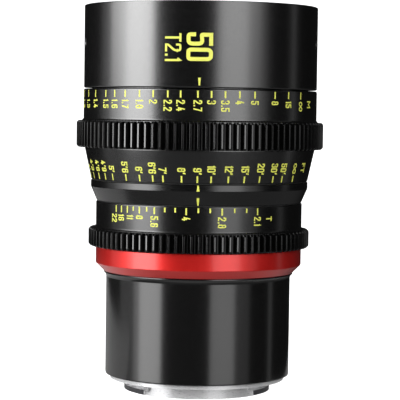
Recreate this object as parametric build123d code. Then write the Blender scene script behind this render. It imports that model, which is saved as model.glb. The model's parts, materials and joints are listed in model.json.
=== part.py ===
# Cinema prime lens, 50 mm, with geared focus and iris rings.
# Millimetres. Z runs along the optical axis, from 0 at the face that meets the camera towards the front.
# Pieces are modelled focused on 2.7 m and at a middle iris setting.
import os
from math import acos, asin, atan2, copysign, cos, degrees, pi, radians, sin, sqrt, tan

from build123d import *

# Heights of the visible rings, stacked from the flange to the front rim
flange_thickness = 1.2
shim_thickness = 0.3
tube_length = 35.45
red_ring_height = 8.45
iris_ring_height = 15.15
index_ring_height = 7.0
focus_ring_height = 30.75
front_barrel_height = 28.2
ring_gap = 0.3

# The largest glass; every barrel and ring is stacked outwards from it
front_element_radius = 25.5

# Walls and steps between the barrels, from the glass outwards
front_cell_flange_wall = 5.1
front_cell_flange_gap = 0.4
nose_wall = 3.2
focus_land_step = 0.8
rear_land_step = 0.9
barrel_spigot_step = 1.7
helicoid_space = 2.4
focus_band_wall = 3.45
front_barrel_inset = 0.05
foot_cone_top_inset = 0.55
foot_cone_low_wall = 2.25
index_ring_step = 0.05
index_ring_low_wall = 2.0
iris_ring_wall = 2.15
red_ring_inset = 0.05
red_ring_chamfer = 2.75
tube_collar_inset = 0.05
tube_collar_step = 0.85
tube_wall = 2.0
flange_inset = 1.75

# Follow-focus teeth
gear_module = 0.8
pressure_angle = 20.0
addendum_share = 1.0
dedendum_share = 1.25
tooth_end_chamfer = 0.6
focus_gear_stand = 1.55
iris_gear_stand = 1.75
focus_gear_height = 9.1
iris_gear_height = 6.1
foot_cone_height = 10.6
foot_cone_step = 0.3
index_taper_height = 4.7

# Clearances: slide fits, flat gaps at washers, sides of blocks in their slots, and one overrun for cuts
fit_clearance = 0.05
washer_clearance = 0.05
side_clearance = 0.1
overrun = 1.0
edge_chamfer = 0.4

# Turning ranges in degrees, each from the modelled pose, and the single-start pitch of the focusing thread
focus_to_infinity = 56.6
focus_travel = 300.0
focus_thread_pitch = 6.0
iris_to_open = 33.55
iris_travel = 83.9

# Main barrel
focus_land_height = 4.8
focus_land_relief = 0.2
nose_top_below_rim = 10.1
barrel_spigot_height = 3.1
barrel_floor_thickness = 2.5
barrel_floor_gap = 1.5

# Front barrel, filter thread and front baffle
filter_wall = 1.9
filter_thread_depth = 5.0
front_cavity_wall = 3.2
front_cavity_depth = 8.6
front_shoulder_width = 2.7
front_counterbore_wall = 2.6
front_counterbore_depth = 2.4
front_rim_chamfer = 0.4
grub_screw_radius = 1.5
grub_screw_recess = 0.4
grub_screw_drop = 2.8
grub_screw_angles = (-168.0, -12.0, 90.0)
baffle_flange_thickness = 2.5
baffle_flange_width = 3.8
baffle_throat_gap = 2.0
baffle_travel_gap = 0.9
baffle_skirt_wall = 1.0
baffle_side_gap = 0.6

# Focus ring and what it carries
focus_band_gap = 0.5
bearing_ring_height = 4.4
thrust_washer_thickness = 0.4
rear_washer_thickness = 0.2
focus_retainer_height = 2.4
focus_retainer_gap = 0.2
stop_pin_radius = 1.0
stop_pin_depth = 1.2
stop_pin_angle = -150.0
stop_pin_gap = 0.6
stop_block_thickness = 2.1

# Focusing thread shoes, which slide in the main barrel's windows
shoe_count = 3
shoe_first_angle = 30.0
shoe_span = 50.0
shoe_end_margin = 1.25
shoe_end_gap = 0.25
shoe_screw_radius = 1.0
shoe_screw_depth = 2.0
shoe_screw_recess = 0.5
shoe_screw_spread_share = 0.3

# Iris ring drive
drive_angle = 90.0
drive_pin_radius = 1.5
drive_pin_below_index = 4.7
drive_pin_seat = 1.2
fork_inner_gap = 3.8
fork_outer_gap = 1.15
fork_width = 7.0
fork_end_margin = 0.6
fork_bridge = 2.6
window_margin = 0.5

# Iris diaphragm; the blades' sizes are shares of the circle that their pivots stand on
blade_count = 11
diaphragm_rise = 4.0
diaphragm_wall = 7.85
pivot_circle_inset = 3.1
open_radius_share = 0.61
blade_outer_share = 0.87
open_stop = 2.1
closed_stop = 22.0
blade_thickness = 0.05
blade_climb_per_turn = 4.7
blade_inner_start = 10.0
blade_inner_end = 90.0
blade_root_angle = -3.0
blade_tip_angle = 115.0
blade_tab_radius = 1.2
blade_axis_x_share = 0.06
blade_axis_y_share = 0.4
blade_fan_start = -45.0
blade_fan_step = 15.0
blade_fan_count = 14
blade_pin_radius = 0.5
blade_pin_clearance = 0.05
blade_pin_length = 1.1
base_plate_gap = 0.25
base_plate_thickness = 1.25
base_plate_bore_gap = 0.2
rotor_rise = 2.4
rotor_thickness = 1.0
rotor_bore_gap = 0.4
rotor_ear_width = 6.0
rotor_ear_root = 1.0
iris_retainer_thickness = 1.5
iris_retainer_width = 7.1
slot_step_count = 6

# Optics barrel and the two glass cells
optics_floor_gap = 0.55
optics_barrel_wall = 6.75
optics_front_length = 39.0
ledge_thickness = 1.0
ledge_width = 6.7
front_cell_seat = 6.5
front_cell_wall = 2.95
front_cell_flange_height = 7.0
rear_cell_nose_step = 2.7
rear_cell_lip = 1.7
seat_width = 1.2
glass_ring_height = 1.8
front_glass_ring_height = 3.0

# Glass: how far each edge steps in, the thickness on the axis, and how far each surface bulges at its
# edge, positive where its centre of curvature lies to the rear
front_element_thickness = 6.5
front_element_front_bulge = 6.7
front_element_rear_bulge = 2.5
front_air_gap = 5.0
second_element_step = 3.5
second_element_thickness = 5.5
second_element_front_bulge = 7.0
second_element_rear_bulge = 3.5
second_air_gap = 4.5
front_doublet_step = 3.5
front_crown_thickness = 8.0
front_crown_bulge = 5.9
front_cement_bulge = -1.1
front_flint_thickness = 2.5
front_flint_bulge = 5.1
front_flint_rim = 3.0
front_glass_rise = 7.9
rear_glass_drop = 4.0
rear_doublet_wall = 7.7
rear_flint_rim = 2.0
rear_flint_bulge = -5.4
rear_flint_thickness = 2.05
rear_cement_bulge = 1.5
rear_crown_thickness = 7.5
rear_crown_bulge = -4.9
rear_air_gap = 1.5
rear_pair_wall = 3.5
seventh_element_thickness = 6.1
seventh_element_front_bulge = 2.8
seventh_element_rear_bulge = -2.0
last_air_gap = 0.8
rear_element_thickness = 5.4
rear_element_front_bulge = 2.2
rear_element_rear_bulge = -0.8

# Rear tube
tube_collar_height = 1.5
tube_floor_thickness = 4.0
tube_floor_gap = 0.5
tube_shelf_thickness = 2.5
tube_screw_count = 6
tube_screw_radius = 1.25
tube_screw_head_radius = 1.9
tube_screw_head_height = 1.8
tube_screw_depth = 2.0
rear_mask_thickness = 0.8
rear_mask_width = 33.0
rear_mask_height = 23.0
rear_mask_corner = 2.0

# Bayonet
flange_width = 5.9
spigot_length = 4.1
spigot_wall = 3.1
lug_reach = 1.05
lug_thickness = 1.6
lug_rise = 0.35
lug_span = 50.0
lug_angles = (-14.0, 96.5, -160.0)
lug_stop_angle = -42.5
lug_stop_span = 4.0
lug_stop_reach = 0.7
lug_stop_height = 2.15
mount_screw_count = 4
mount_screw_radius = 0.9
mount_screw_head_radius = 1.8
mount_screw_head_recess = 0.05
mount_screw_rim_height = 0.15
mount_screw_depth = 3.0
lock_hole_radius = 1.6
lock_hole_angle = 20.0
stop_screw_angle = -132.5
stop_screw_radius = 1.1
stop_screw_inset = 1.6
stop_screw_proud = 0.7
stop_screw_drop = 1.7

# Radii worked out from the glass outwards
front_cell_flange_radius = front_element_radius + front_cell_flange_wall
optics_bore_radius = front_cell_flange_radius + front_cell_flange_gap
optics_barrel_radius = optics_bore_radius - fit_clearance
nose_radius = optics_bore_radius + nose_wall
rear_land_radius = nose_radius - rear_land_step
barrel_spigot_radius = rear_land_radius - barrel_spigot_step
focus_land_radius = nose_radius + focus_land_step
focus_bore_radius = nose_radius + helicoid_space
focus_band_radius = focus_bore_radius + focus_band_wall
foot_cone_top_radius = focus_band_radius - foot_cone_top_inset
foot_cone_low_radius = focus_land_radius + foot_cone_low_wall
index_ring_radius = foot_cone_low_radius + index_ring_step
index_ring_low_radius = rear_land_radius + index_ring_low_wall
iris_band_radius = rear_land_radius + iris_ring_wall
red_ring_radius = iris_band_radius - red_ring_inset
red_ring_low_radius = red_ring_radius - red_ring_chamfer
tube_collar_radius = red_ring_low_radius - tube_collar_inset
tube_radius = tube_collar_radius - tube_collar_step
tube_bore_radius = tube_radius - tube_wall
tube_screw_circle_radius = tube_bore_radius - tube_screw_head_radius - 2 * side_clearance
front_barrel_radius = focus_band_radius - front_barrel_inset
filter_bore_radius = front_barrel_radius - filter_wall
front_cavity_radius = front_barrel_radius - front_cavity_wall
front_shoulder_radius = nose_radius - front_shoulder_width
front_counterbore_radius = front_barrel_radius - front_counterbore_wall
focus_retainer_radius = front_counterbore_radius - focus_retainer_gap
focus_tooth_count = round(2 * (focus_band_radius + focus_gear_stand) / gear_module)
iris_tooth_count = round(2 * (iris_band_radius + iris_gear_stand) / gear_module)

# Radii worked out from the optics barrel inwards
front_cell_radius = optics_barrel_radius - front_cell_wall
rear_cell_radius = optics_barrel_radius - optics_barrel_wall
rear_cell_nose_radius = rear_cell_radius - rear_cell_nose_step
barrel_floor_bore_radius = rear_cell_nose_radius + barrel_floor_gap
ledge_bore_radius = rear_cell_radius - ledge_width
second_element_radius = front_element_radius - second_element_step
front_doublet_radius = second_element_radius - front_doublet_step
front_flint_clear_radius = front_doublet_radius - front_flint_rim
rear_doublet_radius = rear_cell_radius - rear_doublet_wall
rear_flint_clear_radius = rear_doublet_radius - rear_flint_rim
rear_pair_radius = rear_cell_nose_radius - rear_pair_wall
diaphragm_bore_radius = optics_barrel_radius - diaphragm_wall
pivot_circle_radius = diaphragm_bore_radius - pivot_circle_inset
open_radius = pivot_circle_radius * open_radius_share
blade_outer_radius = pivot_circle_radius * blade_outer_share
base_plate_bore_radius = open_radius + base_plate_bore_gap
rotor_bore_radius = open_radius + rotor_bore_gap
iris_retainer_bore_radius = diaphragm_bore_radius - iris_retainer_width
fork_inner_radius = diaphragm_bore_radius + fork_inner_gap
fork_outer_radius = optics_barrel_radius - fork_outer_gap

# Radii of the mount
flange_radius = tube_radius - flange_inset
spigot_radius = flange_radius - flange_width
spigot_bore_radius = spigot_radius - spigot_wall
lug_radius = spigot_radius + lug_reach
lug_stop_radius = spigot_radius + lug_stop_reach
tube_floor_bore_radius = spigot_bore_radius + tube_floor_gap
mount_screw_circle_radius = (spigot_radius + flange_radius) / 2

# Heights worked out from the stack
shim_z = flange_thickness
tube_z = shim_z + shim_thickness
tube_top_z = tube_z + tube_length
red_top_z = tube_top_z + red_ring_height
iris_ring_z = red_top_z + ring_gap
iris_ring_top_z = iris_ring_z + iris_ring_height
index_z = iris_ring_top_z + ring_gap
index_top_z = index_z + index_ring_height
focus_z = index_top_z + ring_gap
focus_top_z = focus_z + focus_ring_height
front_z = focus_top_z + ring_gap
rim_z = front_z + front_barrel_height
nose_top_z = rim_z - nose_top_below_rim
focus_land_top_z = index_top_z + focus_land_height
grub_screw_z = nose_top_z - grub_screw_drop

# Focusing travel of the glass, behind and ahead of the modelled pose
travel_back = focus_thread_pitch * focus_to_infinity / 360
travel_ahead = focus_thread_pitch * (focus_travel - focus_to_infinity) / 360

# Heights inside the focus ring
stop_pin_z = focus_land_top_z + stop_pin_radius + side_clearance
helicoid_ring_z = stop_pin_z + stop_pin_radius + stop_pin_gap
bearing_ring_top_z = focus_top_z - focus_band_gap
bearing_ring_z = bearing_ring_top_z - bearing_ring_height
shoe_z = helicoid_ring_z + shoe_end_margin + travel_back
shoe_top_z = bearing_ring_z - shoe_end_margin - travel_ahead

# Heights round the diaphragm
drive_pin_z = index_z - drive_pin_below_index
diaphragm_z = drive_pin_z + diaphragm_rise
base_plate_top_z = diaphragm_z - base_plate_gap
base_plate_z = base_plate_top_z - base_plate_thickness
ledge_z = base_plate_z - ledge_thickness
rotor_z = diaphragm_z + rotor_rise
rotor_top_z = rotor_z + rotor_thickness
optics_barrel_low = tube_top_z + barrel_floor_thickness + travel_back + optics_floor_gap
optics_barrel_high = diaphragm_z + optics_front_length
front_cell_z = diaphragm_z + front_cell_seat
front_cell_top_z = optics_barrel_high + front_cell_flange_height

# Each blade turns by a fixed share of the iris ring's turn
blade_turn = degrees(2 * asin(open_radius * (1 - open_stop / closed_stop) / (2 * pivot_circle_radius)))
blade_turn_per_ring = blade_turn / iris_travel
blade_rest_turn = iris_to_open * blade_turn_per_ring


def surface_drop(bulge, edge_radius, radius):
    """How far a lens surface lies behind its vertex at a radius, when it bulges so much at its edge."""
    curve = (edge_radius**2 + bulge**2) / (2 * abs(bulge))
    return copysign(curve - sqrt(curve**2 - radius**2), bulge)


# Vertex heights of the glass, from the diaphragm outwards
front_flint_edge_z = diaphragm_z + front_glass_rise
front_flint_z = front_flint_edge_z + front_flint_bulge
front_cement_z = front_flint_z + front_flint_thickness
front_crown_z = front_cement_z + front_crown_thickness
second_rear_z = front_crown_z + second_air_gap
second_front_z = second_rear_z + second_element_thickness
first_rear_z = second_front_z + front_air_gap
first_front_z = first_rear_z + front_element_thickness
rear_flint_edge_z = diaphragm_z - rear_glass_drop
rear_flint_z = rear_flint_edge_z + rear_flint_bulge
rear_cement_z = rear_flint_z - rear_flint_thickness
rear_crown_z = rear_cement_z - rear_crown_thickness
seventh_front_z = rear_crown_z - rear_air_gap
seventh_rear_z = seventh_front_z - seventh_element_thickness
last_front_z = seventh_rear_z - last_air_gap
last_rear_z = last_front_z - rear_element_thickness
rear_cell_nose_z = last_rear_z - rear_cell_lip


def at(radius, height):
    """A point of a turned profile."""
    return Vector(radius, 0, height)


def turned(points):
    """A solid of revolution from the corners of its half section."""
    outline = Polyline([at(*point) for point in points], close=True)
    return revolve(make_face(outline.edges()), Axis.Z)


def collar(inner_radius, outer_radius, low, high):
    face = Circle(outer_radius) - Circle(inner_radius)
    return Pos(0, 0, low) * extrude(face, high - low)


def disc(radius, low, high):
    return Pos(0, 0, low) * extrude(Circle(radius), high - low)


def on_circle(radius, angle):
    return Vector(radius * cos(radians(angle)), radius * sin(radians(angle)))


def sector(inner_radius, outer_radius, low, high, middle, span):
    """A block that fills part of a ring."""
    start = middle - span / 2
    end = middle + span / 2
    outline = [
        Line(on_circle(inner_radius, start), on_circle(outer_radius, start)),
        ThreePointArc(
            on_circle(outer_radius, start), on_circle(outer_radius, middle), on_circle(outer_radius, end)
        ),
        Line(on_circle(outer_radius, end), on_circle(inner_radius, end)),
        ThreePointArc(
            on_circle(inner_radius, end), on_circle(inner_radius, middle), on_circle(inner_radius, start)
        ),
    ]
    return Pos(0, 0, low) * extrude(make_face(outline), high - low)


def radial_pin(radius, inner, outer, height, angle):
    """A round pin that points away from the axis."""
    pin = extrude(Plane.YZ * Circle(radius), outer - inner)
    return Rot(0, 0, angle) * Pos(inner, 0, height) * pin


def spread(count, first=0.0):
    return [first + 360 * index / count for index in range(count)]


def group(solids):
    return Compound(children=list(solids))


def tooth_half_angle(radius, pitch_radius, tooth_count):
    """Half the angle that an involute tooth fills at a radius."""
    base_radius = pitch_radius * cos(radians(pressure_angle))
    local_angle = acos(base_radius / radius)
    involute = tan(radians(pressure_angle)) - radians(pressure_angle)
    return degrees(pi / (2 * tooth_count) + involute - (tan(local_angle) - local_angle))


def gear_radii(tooth_count):
    pitch_radius = gear_module * tooth_count / 2
    root_radius = pitch_radius - dedendum_share * gear_module
    tip_radius = pitch_radius + addendum_share * gear_module
    return root_radius, pitch_radius, tip_radius


def gear_rim(tooth_count, bore_radius, low, high):
    """A toothed rim whose teeth are chamfered at both ends."""
    root_radius, pitch_radius, tip_radius = gear_radii(tooth_count)
    corners = []
    for middle in spread(tooth_count):
        for side in (-1, 1):
            flank = [
                on_circle(radius, middle + side * tooth_half_angle(radius, pitch_radius, tooth_count))
                for radius in (root_radius, pitch_radius, tip_radius)
            ]
            corners += flank if side < 0 else flank[::-1]
    face = make_face(Polyline(corners, close=True).edges()) - Circle(bore_radius)
    teeth = Pos(0, 0, low) * extrude(face, high - low)
    chamfer_radius = tip_radius - tooth_end_chamfer
    envelope = turned(
        [
            (0, low),
            (chamfer_radius, low),
            (tip_radius, low + tooth_end_chamfer),
            (tip_radius + overrun, low + tooth_end_chamfer),
            (tip_radius + overrun, high - tooth_end_chamfer),
            (tip_radius, high - tooth_end_chamfer),
            (chamfer_radius, high),
            (0, high),
        ]
    )
    return teeth & envelope


# Fixed barrels


def make_main_barrel():
    """Guide barrel: every ring runs on it, and the glass slides in it."""
    floor_top = tube_top_z + barrel_floor_thickness
    spigot_top = tube_top_z + barrel_spigot_height
    barrel = turned(
        [
            (barrel_floor_bore_radius, tube_top_z),
            (barrel_spigot_radius, tube_top_z),
            (barrel_spigot_radius, spigot_top),
            (rear_land_radius, spigot_top),
            (rear_land_radius, index_top_z),
            (focus_land_radius, index_top_z),
            (focus_land_radius, focus_land_top_z),
            (nose_radius, focus_land_top_z),
            (nose_radius, nose_top_z),
            (optics_bore_radius, nose_top_z),
            (optics_bore_radius, floor_top),
            (barrel_floor_bore_radius, floor_top),
        ]
    )
    for angle in spread(shoe_count, shoe_first_angle):
        barrel -= shoe_window(angle)
    barrel -= drive_slot()
    for screw in tube_screw_shanks(tube_screw_radius):
        barrel -= screw
    return barrel


def shoe_window(angle):
    low = shoe_z - travel_back - shoe_end_gap
    high = shoe_top_z + travel_ahead + shoe_end_gap
    inner = optics_bore_radius - overrun
    return sector(inner, nose_radius + overrun, low, high, angle, shoe_span)


def swept_sector(inner, outer, low, high, half_width, narrow_radius):
    """Room for a block of the given half width, over the iris ring's whole range."""
    margin = degrees(asin(half_width / narrow_radius))
    start = drive_angle - iris_to_open - margin
    span = iris_travel + 2 * margin
    return sector(inner, outer, low, high, start + span / 2, span)


def drive_slot():
    half_height = drive_pin_radius + side_clearance
    low = drive_pin_z - half_height
    high = drive_pin_z + half_height
    inner = optics_bore_radius - overrun
    return swept_sector(inner, rear_land_radius + overrun, low, high, half_height, optics_bore_radius)


def make_front_barrel():
    counterbore_z = front_z + front_counterbore_depth
    thread_z = rim_z - filter_thread_depth
    cavity_z = rim_z - front_cavity_depth
    barrel = turned(
        [
            (front_counterbore_radius, front_z),
            (front_barrel_radius - edge_chamfer, front_z),
            (front_barrel_radius, front_z + edge_chamfer),
            (front_barrel_radius, rim_z - front_rim_chamfer),
            (front_barrel_radius - front_rim_chamfer, rim_z),
            (filter_bore_radius + front_rim_chamfer, rim_z),
            (filter_bore_radius, rim_z - front_rim_chamfer),
            (filter_bore_radius, thread_z),
            (front_cavity_radius, thread_z),
            (front_cavity_radius, cavity_z),
            (front_shoulder_radius, cavity_z),
            (front_shoulder_radius, nose_top_z),
            (nose_radius, nose_top_z),
            (nose_radius, counterbore_z),
            (front_counterbore_radius, counterbore_z),
        ]
    )
    for angle in grub_screw_angles:
        outer = front_barrel_radius + overrun
        barrel -= radial_pin(grub_screw_radius, nose_radius, outer, grub_screw_z, angle)
    return barrel


def make_barrel_grub_screws():
    head = front_barrel_radius - grub_screw_recess
    return group(
        radial_pin(grub_screw_radius, nose_radius, head, grub_screw_z, angle) for angle in grub_screw_angles
    )


def make_front_baffle_ring():
    """Black cone that hides the inside of the barrel around the front glass."""
    seat_z = rim_z - front_cavity_depth
    top_z = seat_z + baffle_flange_thickness
    low_z = front_cell_top_z + travel_ahead + baffle_travel_gap
    mouth_radius = front_cavity_radius - baffle_flange_width
    throat_radius = front_element_radius + baffle_throat_gap
    return turned(
        [
            (front_cavity_radius, seat_z),
            (front_cavity_radius, top_z),
            (mouth_radius, top_z),
            (throat_radius, low_z),
            (throat_radius + baffle_skirt_wall, low_z),
            (front_shoulder_radius - baffle_side_gap, seat_z),
        ]
    )


def make_focus_retaining_ring():
    low = focus_top_z + 2 * washer_clearance
    return collar(nose_radius, focus_retainer_radius, low, low + focus_retainer_height)


def make_focus_thrust_washers():
    """Thin slippery washers at both ends of the focus ring."""
    front_low = focus_top_z + washer_clearance - thrust_washer_thickness
    rear_low = index_top_z + washer_clearance
    front_inner = nose_radius + side_clearance
    front_outer = focus_bore_radius - side_clearance
    rear_inner = focus_land_radius + side_clearance
    rear_outer = foot_cone_low_radius - edge_chamfer
    return group(
        [
            collar(front_inner, front_outer, front_low, front_low + thrust_washer_thickness),
            collar(rear_inner, rear_outer, rear_low, rear_low + rear_washer_thickness),
        ]
    )


def make_iris_thrust_washers():
    """Thin slippery washers at both ends of the iris ring."""
    lows = [red_top_z + washer_clearance, iris_ring_top_z + washer_clearance]
    inner = rear_land_radius + side_clearance
    outer = index_ring_low_radius - edge_chamfer
    return group(collar(inner, outer, low, low + rear_washer_thickness) for low in lows)


def make_index_ring():
    """Fixed ring between the two turning rings, which carries both index marks."""
    taper_top_z = index_z + index_taper_height
    return turned(
        [
            (rear_land_radius, index_z),
            (index_ring_low_radius, index_z),
            (index_ring_radius, taper_top_z),
            (index_ring_radius, index_top_z),
            (rear_land_radius, index_top_z),
        ]
    )


def make_red_ring():
    spigot_top = tube_top_z + barrel_spigot_height
    chamfer_z = tube_top_z + red_ring_radius - red_ring_low_radius
    return turned(
        [
            (barrel_spigot_radius, tube_top_z),
            (red_ring_low_radius, tube_top_z),
            (red_ring_radius, chamfer_z),
            (red_ring_radius, red_top_z),
            (rear_land_radius, red_top_z),
            (rear_land_radius, spigot_top),
            (barrel_spigot_radius, spigot_top),
        ]
    )


# Focus ring and its thread


def make_focus_ring():
    """One piece: metre band, toothed rim and foot cone."""
    cone_top_z = focus_z + foot_cone_height
    gear_low = cone_top_z + foot_cone_step
    gear_high = gear_low + focus_gear_height
    bore_step_z = focus_land_top_z - focus_land_relief
    root_radius, _, _ = gear_radii(focus_tooth_count)
    cove = root_radius - focus_band_radius
    body = turned(
        [
            (focus_land_radius + fit_clearance, focus_z),
            (foot_cone_low_radius, focus_z),
            (foot_cone_top_radius, cone_top_z),
            (foot_cone_top_radius, gear_low),
            (focus_band_radius, gear_low),
            (focus_band_radius, gear_high),
            (root_radius, gear_high),
            (focus_band_radius, gear_high + cove),
            (focus_band_radius, focus_top_z - edge_chamfer),
            (focus_band_radius - edge_chamfer, focus_top_z),
            (focus_bore_radius, focus_top_z),
            (focus_bore_radius, bore_step_z),
            (focus_land_radius + fit_clearance, bore_step_z),
        ]
    )
    ring = body + gear_rim(focus_tooth_count, focus_bore_radius, gear_low, gear_high)
    return ring - focus_stop_pin_body()


def focus_stop_pin_body():
    tip = nose_radius + 2 * side_clearance
    outer = focus_bore_radius + stop_pin_depth
    return radial_pin(stop_pin_radius, tip, outer, stop_pin_z, stop_pin_angle)


def make_focus_stop_block():
    """Arc on the main barrel that the stop pin meets at both ends of the focus range."""
    high = stop_pin_z + stop_pin_radius - 2 * side_clearance
    pin_margin = degrees(asin((stop_pin_radius + side_clearance) / nose_radius))
    span = 360 - focus_travel - 2 * pin_margin
    middle = stop_pin_angle + focus_travel / 2 - focus_to_infinity + 180
    outer = nose_radius + stop_block_thickness
    return sector(nose_radius, outer, focus_land_top_z, high, middle, span)


def helicoid_bore():
    return nose_radius + side_clearance + 2 * side_clearance


def make_helicoid_ring():
    """Brass nut of the focusing thread, which turns with the focus ring."""
    return collar(helicoid_bore(), focus_bore_radius, helicoid_ring_z, bearing_ring_z)


def make_focus_bearing_ring():
    return collar(nose_radius + fit_clearance, focus_bore_radius, bearing_ring_z, bearing_ring_top_z)


def shoe_screws(inner, outer):
    height = (shoe_z + shoe_top_z) / 2
    offset = shoe_span * shoe_screw_spread_share
    screws = []
    for angle in spread(shoe_count, shoe_first_angle):
        for side in (-1, 1):
            screws.append(radial_pin(shoe_screw_radius, inner, outer, height, angle + side * offset))
    return screws


def shoe_outer_radius():
    return helicoid_bore() - fit_clearance


def make_helicoid_shoes():
    """Brass thread segments that reach through the windows to the turning nut."""
    slack = degrees(2 * fit_clearance / nose_radius)
    shoes = []
    for angle in spread(shoe_count, shoe_first_angle):
        outer = shoe_outer_radius()
        shoe = sector(optics_barrel_radius, outer, shoe_z, shoe_top_z, angle, shoe_span - slack)
        for screw in shoe_screws(optics_barrel_radius - overrun, nose_radius + overrun):
            shoe -= screw
        shoes.append(shoe)
    return group(shoes)


def make_shoe_screws():
    inner = optics_barrel_radius - shoe_screw_depth
    return group(shoe_screws(inner, shoe_outer_radius() - shoe_screw_recess))


# Iris ring and its drive


def make_iris_ring():
    """One piece: T-stop band and toothed rim."""
    bore = rear_land_radius + fit_clearance
    gear_high = iris_ring_z + iris_gear_height
    body = turned(
        [
            (bore, iris_ring_z),
            (iris_band_radius, iris_ring_z),
            (iris_band_radius, iris_ring_top_z - edge_chamfer),
            (iris_band_radius - edge_chamfer, iris_ring_top_z),
            (bore, iris_ring_top_z),
        ]
    )
    ring = body + gear_rim(iris_tooth_count, bore, iris_ring_z, gear_high)
    return ring - drive_pin_body()


def drive_pin_body():
    seat = rear_land_radius + fit_clearance + drive_pin_seat
    inner = fork_inner_radius + fit_clearance
    return radial_pin(drive_pin_radius, inner, seat, drive_pin_z, drive_angle)


def make_iris_fork():
    """Leg with a straight groove, so that the drive pin turns the rotor at any focus."""
    low = drive_pin_z - drive_pin_radius - travel_ahead - fork_end_margin
    groove_width = 2 * (drive_pin_radius + fit_clearance)
    depth = fork_outer_radius - fork_inner_radius
    middle_radius = fork_inner_radius + depth / 2
    height = rotor_top_z - low
    leg = Box(depth, fork_width, height)
    groove = Pos(0, 0, -fork_bridge) * Box(depth + overrun, groove_width, height)
    return Rot(0, 0, drive_angle) * Pos(middle_radius, 0, low + height / 2) * (leg - groove)


# Diaphragm


def blade_outline():
    """One crescent, fully open, with a tab at each end."""
    middle = (blade_inner_start + blade_inner_end) / 2
    outer_middle = (blade_root_angle + blade_tip_angle) / 2
    root = on_circle(blade_outer_radius, blade_root_angle)
    tip = on_circle(blade_outer_radius, blade_tip_angle)
    inner_start = on_circle(open_radius, blade_inner_start)
    inner_end = on_circle(open_radius, blade_inner_end)
    crescent = make_face(
        [
            ThreePointArc(inner_start, on_circle(open_radius, middle), inner_end),
            Line(inner_end, tip),
            ThreePointArc(tip, on_circle(blade_outer_radius, outer_middle), root),
            Line(root, inner_start),
        ]
    )
    reach = pivot_circle_radius - blade_outer_radius + blade_tab_radius
    tab = Circle(blade_tab_radius) + Pos(-reach / 2, 0) * Rectangle(reach, 2 * blade_tab_radius)
    for angle in (0, blade_tip_angle):
        crescent += Rot(0, 0, angle) * Pos(pivot_circle_radius, 0) * tab
    return crescent


def blade_axis():
    return Vector(pivot_circle_radius * blade_axis_x_share, pivot_circle_radius * blade_axis_y_share)


def blade_height(point):
    """Height of the spiral surface that a blade lies in, above its pivot."""
    axis = blade_axis()
    pivot_angle = atan2(-axis.Y, pivot_circle_radius - axis.X)
    return blade_climb_per_turn * (atan2(point.Y - axis.Y, point.X - axis.X) - pivot_angle) / (2 * pi)


def blade_fan():
    """A thin spiral ramp, ruled between straight spokes, so that all blades overlap without touching."""
    axis = blade_axis()
    inner = blade_tab_radius
    outer = 2 * pivot_circle_radius
    pivot_angle = degrees(atan2(-axis.Y, pivot_circle_radius - axis.X))
    spokes = []
    for step in range(blade_fan_count + 1):
        angle = blade_fan_start + blade_fan_step * step
        low = blade_climb_per_turn * (angle - pivot_angle) / 360
        near = axis + on_circle(inner, angle)
        far = axis + on_circle(outer, angle)
        corners = [
            Vector(near.X, near.Y, low),
            Vector(far.X, far.Y, low),
            Vector(far.X, far.Y, low + blade_thickness),
            Vector(near.X, near.Y, low + blade_thickness),
        ]
        spokes.append(make_face(Polyline(corners, close=True).edges()))
    return loft(spokes, ruled=True)


def make_blade():
    """One blade, fully open, with its pivot pin below and its drive pin above."""
    top = rotor_rise + rotor_thickness
    prism = Pos(0, 0, -rotor_rise) * extrude(blade_outline(), rotor_rise + top)
    blade = prism & blade_fan()
    half = blade_thickness / 2
    pivot_low = -base_plate_gap - blade_pin_length
    pivot_pin = Pos(pivot_circle_radius, 0) * disc(blade_pin_radius, pivot_low, half)
    drive_point = on_circle(pivot_circle_radius, blade_tip_angle)
    drive_low = blade_height(drive_point) + half
    drive_pin = Pos(drive_point) * disc(blade_pin_radius, drive_low, top)
    return blade + pivot_pin + drive_pin


def turned_about_pivot(shape, turn):
    pivot = Pos(pivot_circle_radius, 0)
    return pivot * Rot(0, 0, turn) * pivot.inverse() * shape


def make_iris_blades():
    blade = turned_about_pivot(make_blade(), blade_rest_turn)
    return [Pos(0, 0, diaphragm_z) * Rot(0, 0, angle) * blade for angle in spread(blade_count)]


def make_iris_base_plate():
    plate = collar(base_plate_bore_radius, diaphragm_bore_radius, base_plate_z, base_plate_top_z)
    for angle in spread(blade_count):
        hole = disc(blade_pin_radius + blade_pin_clearance, base_plate_z, base_plate_top_z)
        plate -= Pos(on_circle(pivot_circle_radius, angle)) * hole
    return plate


def drive_pin_in_rotor(ring_turn):
    """Where a blade's drive pin stands in the rotor, when the rotor has turned from fully open."""
    pivot = Vector(pivot_circle_radius, 0)
    arm = on_circle(pivot_circle_radius, blade_tip_angle) - pivot
    moved = pivot + arm.rotate(Axis.Z, ring_turn * blade_turn_per_ring)
    return moved.rotate(Axis.Z, -ring_turn)


def rotor_slot():
    """Cam slot, along the path of the drive pin."""
    radius = blade_pin_radius + blade_pin_clearance
    path = [drive_pin_in_rotor(iris_travel * step / slot_step_count) for step in range(slot_step_count + 1)]
    slot = Pos(path[0]) * Circle(radius)
    for near, far in zip(path, path[1:]):
        run = far - near
        heading = degrees(atan2(run.Y, run.X))
        bar = Rectangle(run.length, 2 * radius)
        slot += Pos((near + far) / 2) * Rot(0, 0, heading) * bar
        slot += Pos(far) * Circle(radius)
    return slot


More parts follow.
